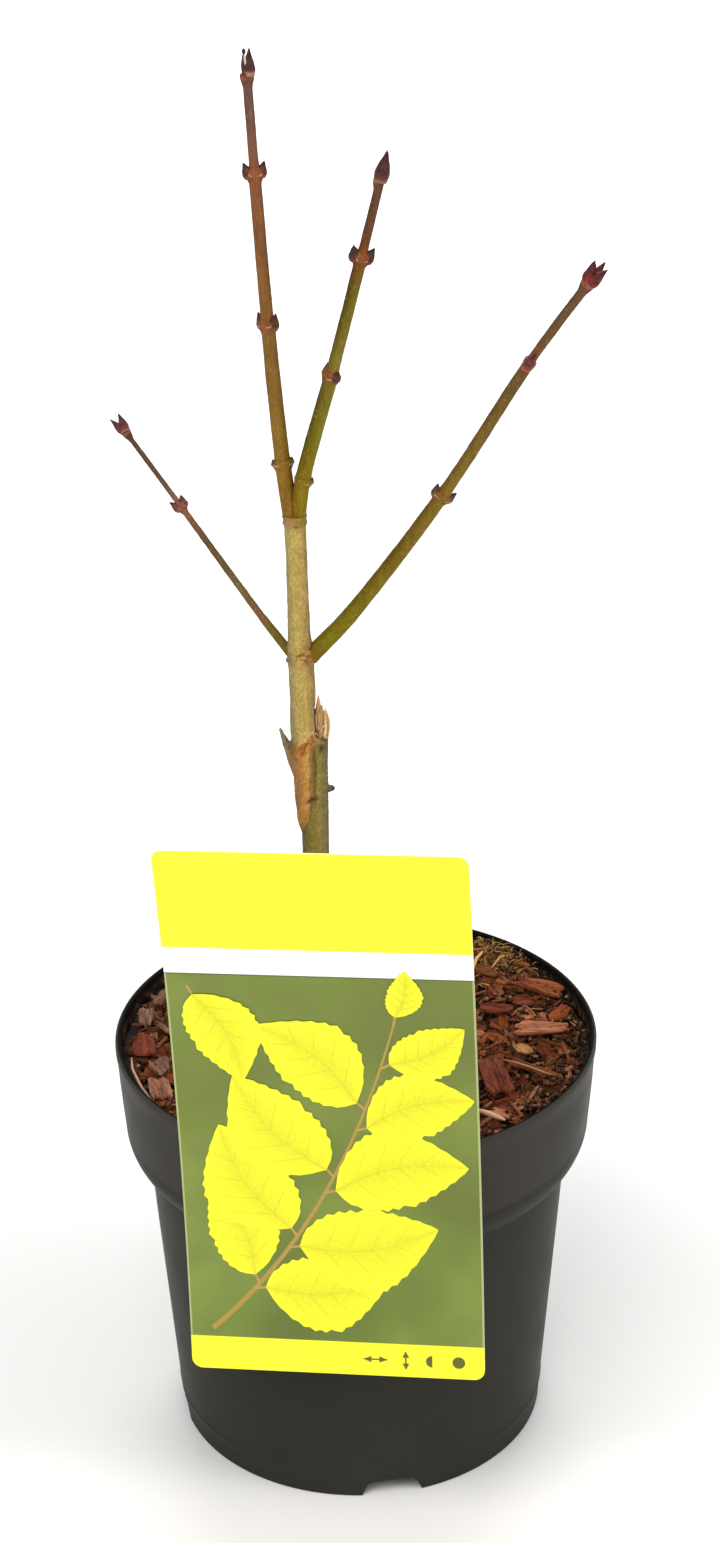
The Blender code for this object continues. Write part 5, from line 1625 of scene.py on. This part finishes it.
def add_leaf(shape, foot, heading, length, width, lift, rng):
    """A printed oval leaf with a toothed edge, a midrib and side veins, on the card."""
    steps = 25
    share = np.linspace(0, 1, steps)
    half = width / 2 * np.sin(math.pi * share ** 0.82) ** 0.85
    teeth = 1 + 0.07 * (2 * ((share * 11) % 1) - 1) * (share > 0.04) * (share < 0.97)
    droop = 0.10 * length * np.sin(math.pi * share) * rng.choice([-1, 1])
    along = np.array((math.cos(heading), math.sin(heading)))
    aside = np.array((-along[1], along[0]))
    middle = foot + share[:, None] * length * along + droop[:, None] * aside
    lines = [middle + aside * (half * teeth * side)[:, None] for side in (-1.0, -0.5, 0.0, 0.5, 1.0)]
    flat = np.stack(lines, 1).reshape(-1, 2)
    gold, pale = srgb(226, 222, 16), srgb(240, 242, 30)
    midway = between(gold, pale, 0.7)
    tone = np.tile(np.array([pale, midway, gold, midway, pale]), (steps, 1))
    shape.add(on_card(flat[:, 0], flat[:, 1], lift), [face[::-1] for face in grid_faces(steps, 5)], tone)
    vein = srgb(220, 211, 34)
    add_line(shape, middle, np.full(steps, 0.32) * (1.1 - share), lift + 0.02, vein)
    for k in range(4):
        spot = 0.18 + 0.17 * k
        for side in (-1, 1):
            i = int(spot * (steps - 1))
            j = min(steps - 1, i + 4)
            end = middle[j] + aside * half[j] * 0.82 * side
            add_line(shape, np.linspace(middle[i], end, 5), np.linspace(0.22, 0.08, 5), lift + 0.02, vein)


def add_line(shape, points, widths, lift, tone):
    """A printed line of changing width on the card."""
    points = np.asarray(points, float)
    way = unit(np.gradient(points, axis=0))
    aside = np.stack([-way[:, 1], way[:, 0]], 1) * np.asarray(widths)[:, None]
    flat = np.stack([points - aside, points + aside], 1).reshape(-1, 2)
    faces = [face[::-1] for face in grid_faces(len(points), 2)]
    shape.add(on_card(flat[:, 0], flat[:, 1], lift), faces, tone)


def make_print(material):
    """A golden sprig of oval leaves over the green field, and four plain marks in the footer."""
    shape = Shape()
    rng = random.Random(SEEDS["print"])
    stem = np.array([stem_place(share) for share in np.linspace(0, 1, 30)])
    add_line(shape, stem, np.linspace(1.0, 0.4, 30), 0.05, srgb(170, 140, 60))
    growing = [(stem_place(share), heading, length) for share, heading, length in LEAVES]
    growing.append(HANGING_LEAF)
    for k, (foot, heading, length) in enumerate(growing):
        turn = math.radians(heading)
        stalk = np.array((math.cos(turn), math.sin(turn))) * 4.0
        foot = np.array(foot)
        add_line(shape, np.linspace(foot, foot + stalk, 4), np.full(4, 0.5), 0.06, srgb(180, 146, 70))
        add_leaf(shape, foot + stalk, turn, length, length * 0.66, 0.08 + 0.03 * k, rng)
    for side in (-1, 1):
        edge = side * (CARD_WIDTH / 2 - 0.35)
        upright = [(edge, height) for height in np.linspace(FOOTER_TOP, FIELD_TOP, 40)]
        add_line(shape, upright, np.full(40, 0.35), 0.04, srgb(168, 176, 116))
    add_line(shape, [(across, FIELD_TOP) for across in np.linspace(-CARD_WIDTH / 2, CARD_WIDTH / 2, 20)],
             np.full(20, 0.25), 0.04, srgb(86, 96, 48))
    ink = srgb(96, 92, 20)
    level = FOOTER_TOP / 2
    shaft, head = ([0.3, 0.3], 0.05), ([1.3, 0.05], 0.06)
    marks = [((10.0, 0.0), (19.0, 0.0), shaft), ((13.0, 0.0), (10.0, 0.0), head),
             ((16.0, 0.0), (19.0, 0.0), head), ((26.0, -3.5), (26.0, 3.5), shaft),
             ((26.0, -1.2), (26.0, -3.8), head), ((26.0, 1.2), (26.0, 3.8), head)]
    for start, end, (widths, lift) in marks:
        add_line(shape, [(across, level + rise) for across, rise in (start, end)], widths, lift, ink)
    for middle, turns in ((36.0, np.linspace(math.pi / 2, 3 * math.pi / 2, 13)), (46.0, round_turns(24))):
        flat = np.array([(middle + 2.4 * math.cos(t), level + 2.4 * math.sin(t)) for t in turns])
        shape.add(on_card(flat[:, 0], flat[:, 1], 0.05), [tuple(range(len(flat)))], ink)
    return dress(shape.build("card_print", [material]), "label_print")


# Studio

# Depths between which the floor's white changes: painted light in front of the pot, and whiter far behind,
# with a band of painted shadow beside the pot between them
FRONT_LIGHT_DEPTHS = (-3088.0, -3025.0)
FAR_DEPTHS = (-2960.0, -2780.0)


def make_studio():
    """White floor that runs away behind, with painted light in front of the pot and a band of painted shadow
    beside it, a white sky and two soft boxes.
    """
    bpy.ops.mesh.primitive_plane_add(size=14.0, location=(0, 3.0, 0))
    floor = bpy.context.object
    floor.name = "floor"
    material, tree, shader = new_material("studio_floor", 0.9, 0.1)
    cloud = node(tree, "TexNoise", {"Scale": 1.5, "Detail": 2.0})
    white = mix(tree, cloud.outputs["Fac"], (0.80, 0.79, 0.77), (0.83, 0.82, 0.80))
    depth = own_axis(tree, "Y")
    # Painted light: the floor in front of the pot is brighter and warmer, and with the whiter floor far
    # behind it leaves a band of painted shadow beside the pot.
    front = climb(tree, depth, *FRONT_LIGHT_DEPTHS, 1.0, 0.0, interpolation_type="SMOOTHSTEP")
    far = climb(tree, depth, *FAR_DEPTHS, interpolation_type="SMOOTHSTEP")
    white = mix(tree, front, white, (0.995, 0.965, 0.915))
    cover(shader, mix(tree, far, white, (0.93, 0.92, 0.90)))
    coat(floor.data, material)
    world = bpy.data.worlds.new("studio")
    bpy.context.scene.world = world
    world.use_nodes = True
    sky = world.node_tree.nodes["Background"]
    sky.inputs["Color"].default_value = (0.97, 0.985, 1.0, 1.0)
    sky.inputs["Strength"].default_value = 0.58
    add_softbox("key", (-0.6, -1.3, 1.9), (0.0, 0.0, 0.25), 1.3, 27.0)
    add_softbox("fill", (1.5, -0.7, 1.2), (0.0, 0.0, 0.2), 1.0, 11.0)
    add_softbox("backdrop", (0.4, 3.9, 2.2), (0.4, 3.0, 0.0), 3.2, 150.0)


def add_softbox(name, place, target, size, power):
    light = bpy.data.lights.new(name, "AREA")
    light.shape = "SQUARE"
    light.size = size
    light.energy = power
    item = add_object(name, light)
    item.location = place
    item.rotation_euler = (Vector(target) - Vector(place)).to_track_quat("-Z", "Y").to_euler()


def make_camera():
    camera = bpy.data.cameras.new("camera")
    camera.lens = CAMERA_LENS
    camera.sensor_width = 36.0
    camera.clip_start = 0.05
    item = add_object("camera", camera)
    forward = Vector((0, math.cos(CAMERA_PITCH), -math.sin(CAMERA_PITCH)))
    upward = Vector((0, math.sin(CAMERA_PITCH), math.cos(CAMERA_PITCH)))
    rightward = Vector((1, 0, 0))
    right = rightward * math.cos(CAMERA_ROLL) + upward * math.sin(CAMERA_ROLL)
    up = upward * math.cos(CAMERA_ROLL) - rightward * math.sin(CAMERA_ROLL)
    turn = Matrix((right, up, -forward)).transposed().to_4x4()
    item.matrix_world = Matrix.Translation(Vector(CAMERA_PLACE) * MM) @ turn
    bpy.context.scene.camera = item


def carry_over():
    """Finishes of the part's own solids that stay: the compost and the card's hanger."""
    compost = compost_material()
    hanger = print_material("hanger_plastic", (236, 236, 232), (228, 228, 224))
    for name, material in (("root_ball", compost), ("label_hanger", hanger)):
        coat(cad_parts[name].data, material)


def main():
    make_camera()
    make_studio()
    carry_over()
    make_pot(pot_material())
    shoots = [Shoot(name, plan) for name, plan in SHOOTS.items()]
    bark = bark_material()
    for shoot in shoots:
        make_limb(shoot, shoots, bark)
    make_buds(shoots, bud_material())
    make_trunk(trunk_material())
    make_fibres(tinted_material("torn_wood", 0.8))
    make_bed(compost_material())
    make_mulch()
    make_crumbs()
    make_strands(tinted_material("moss_and_straw", 0.85))
    make_card()
    make_print(tinted_material("print_ink", 0.34))


main()
bpy.context.scene.view_settings.view_transform = "Standard"
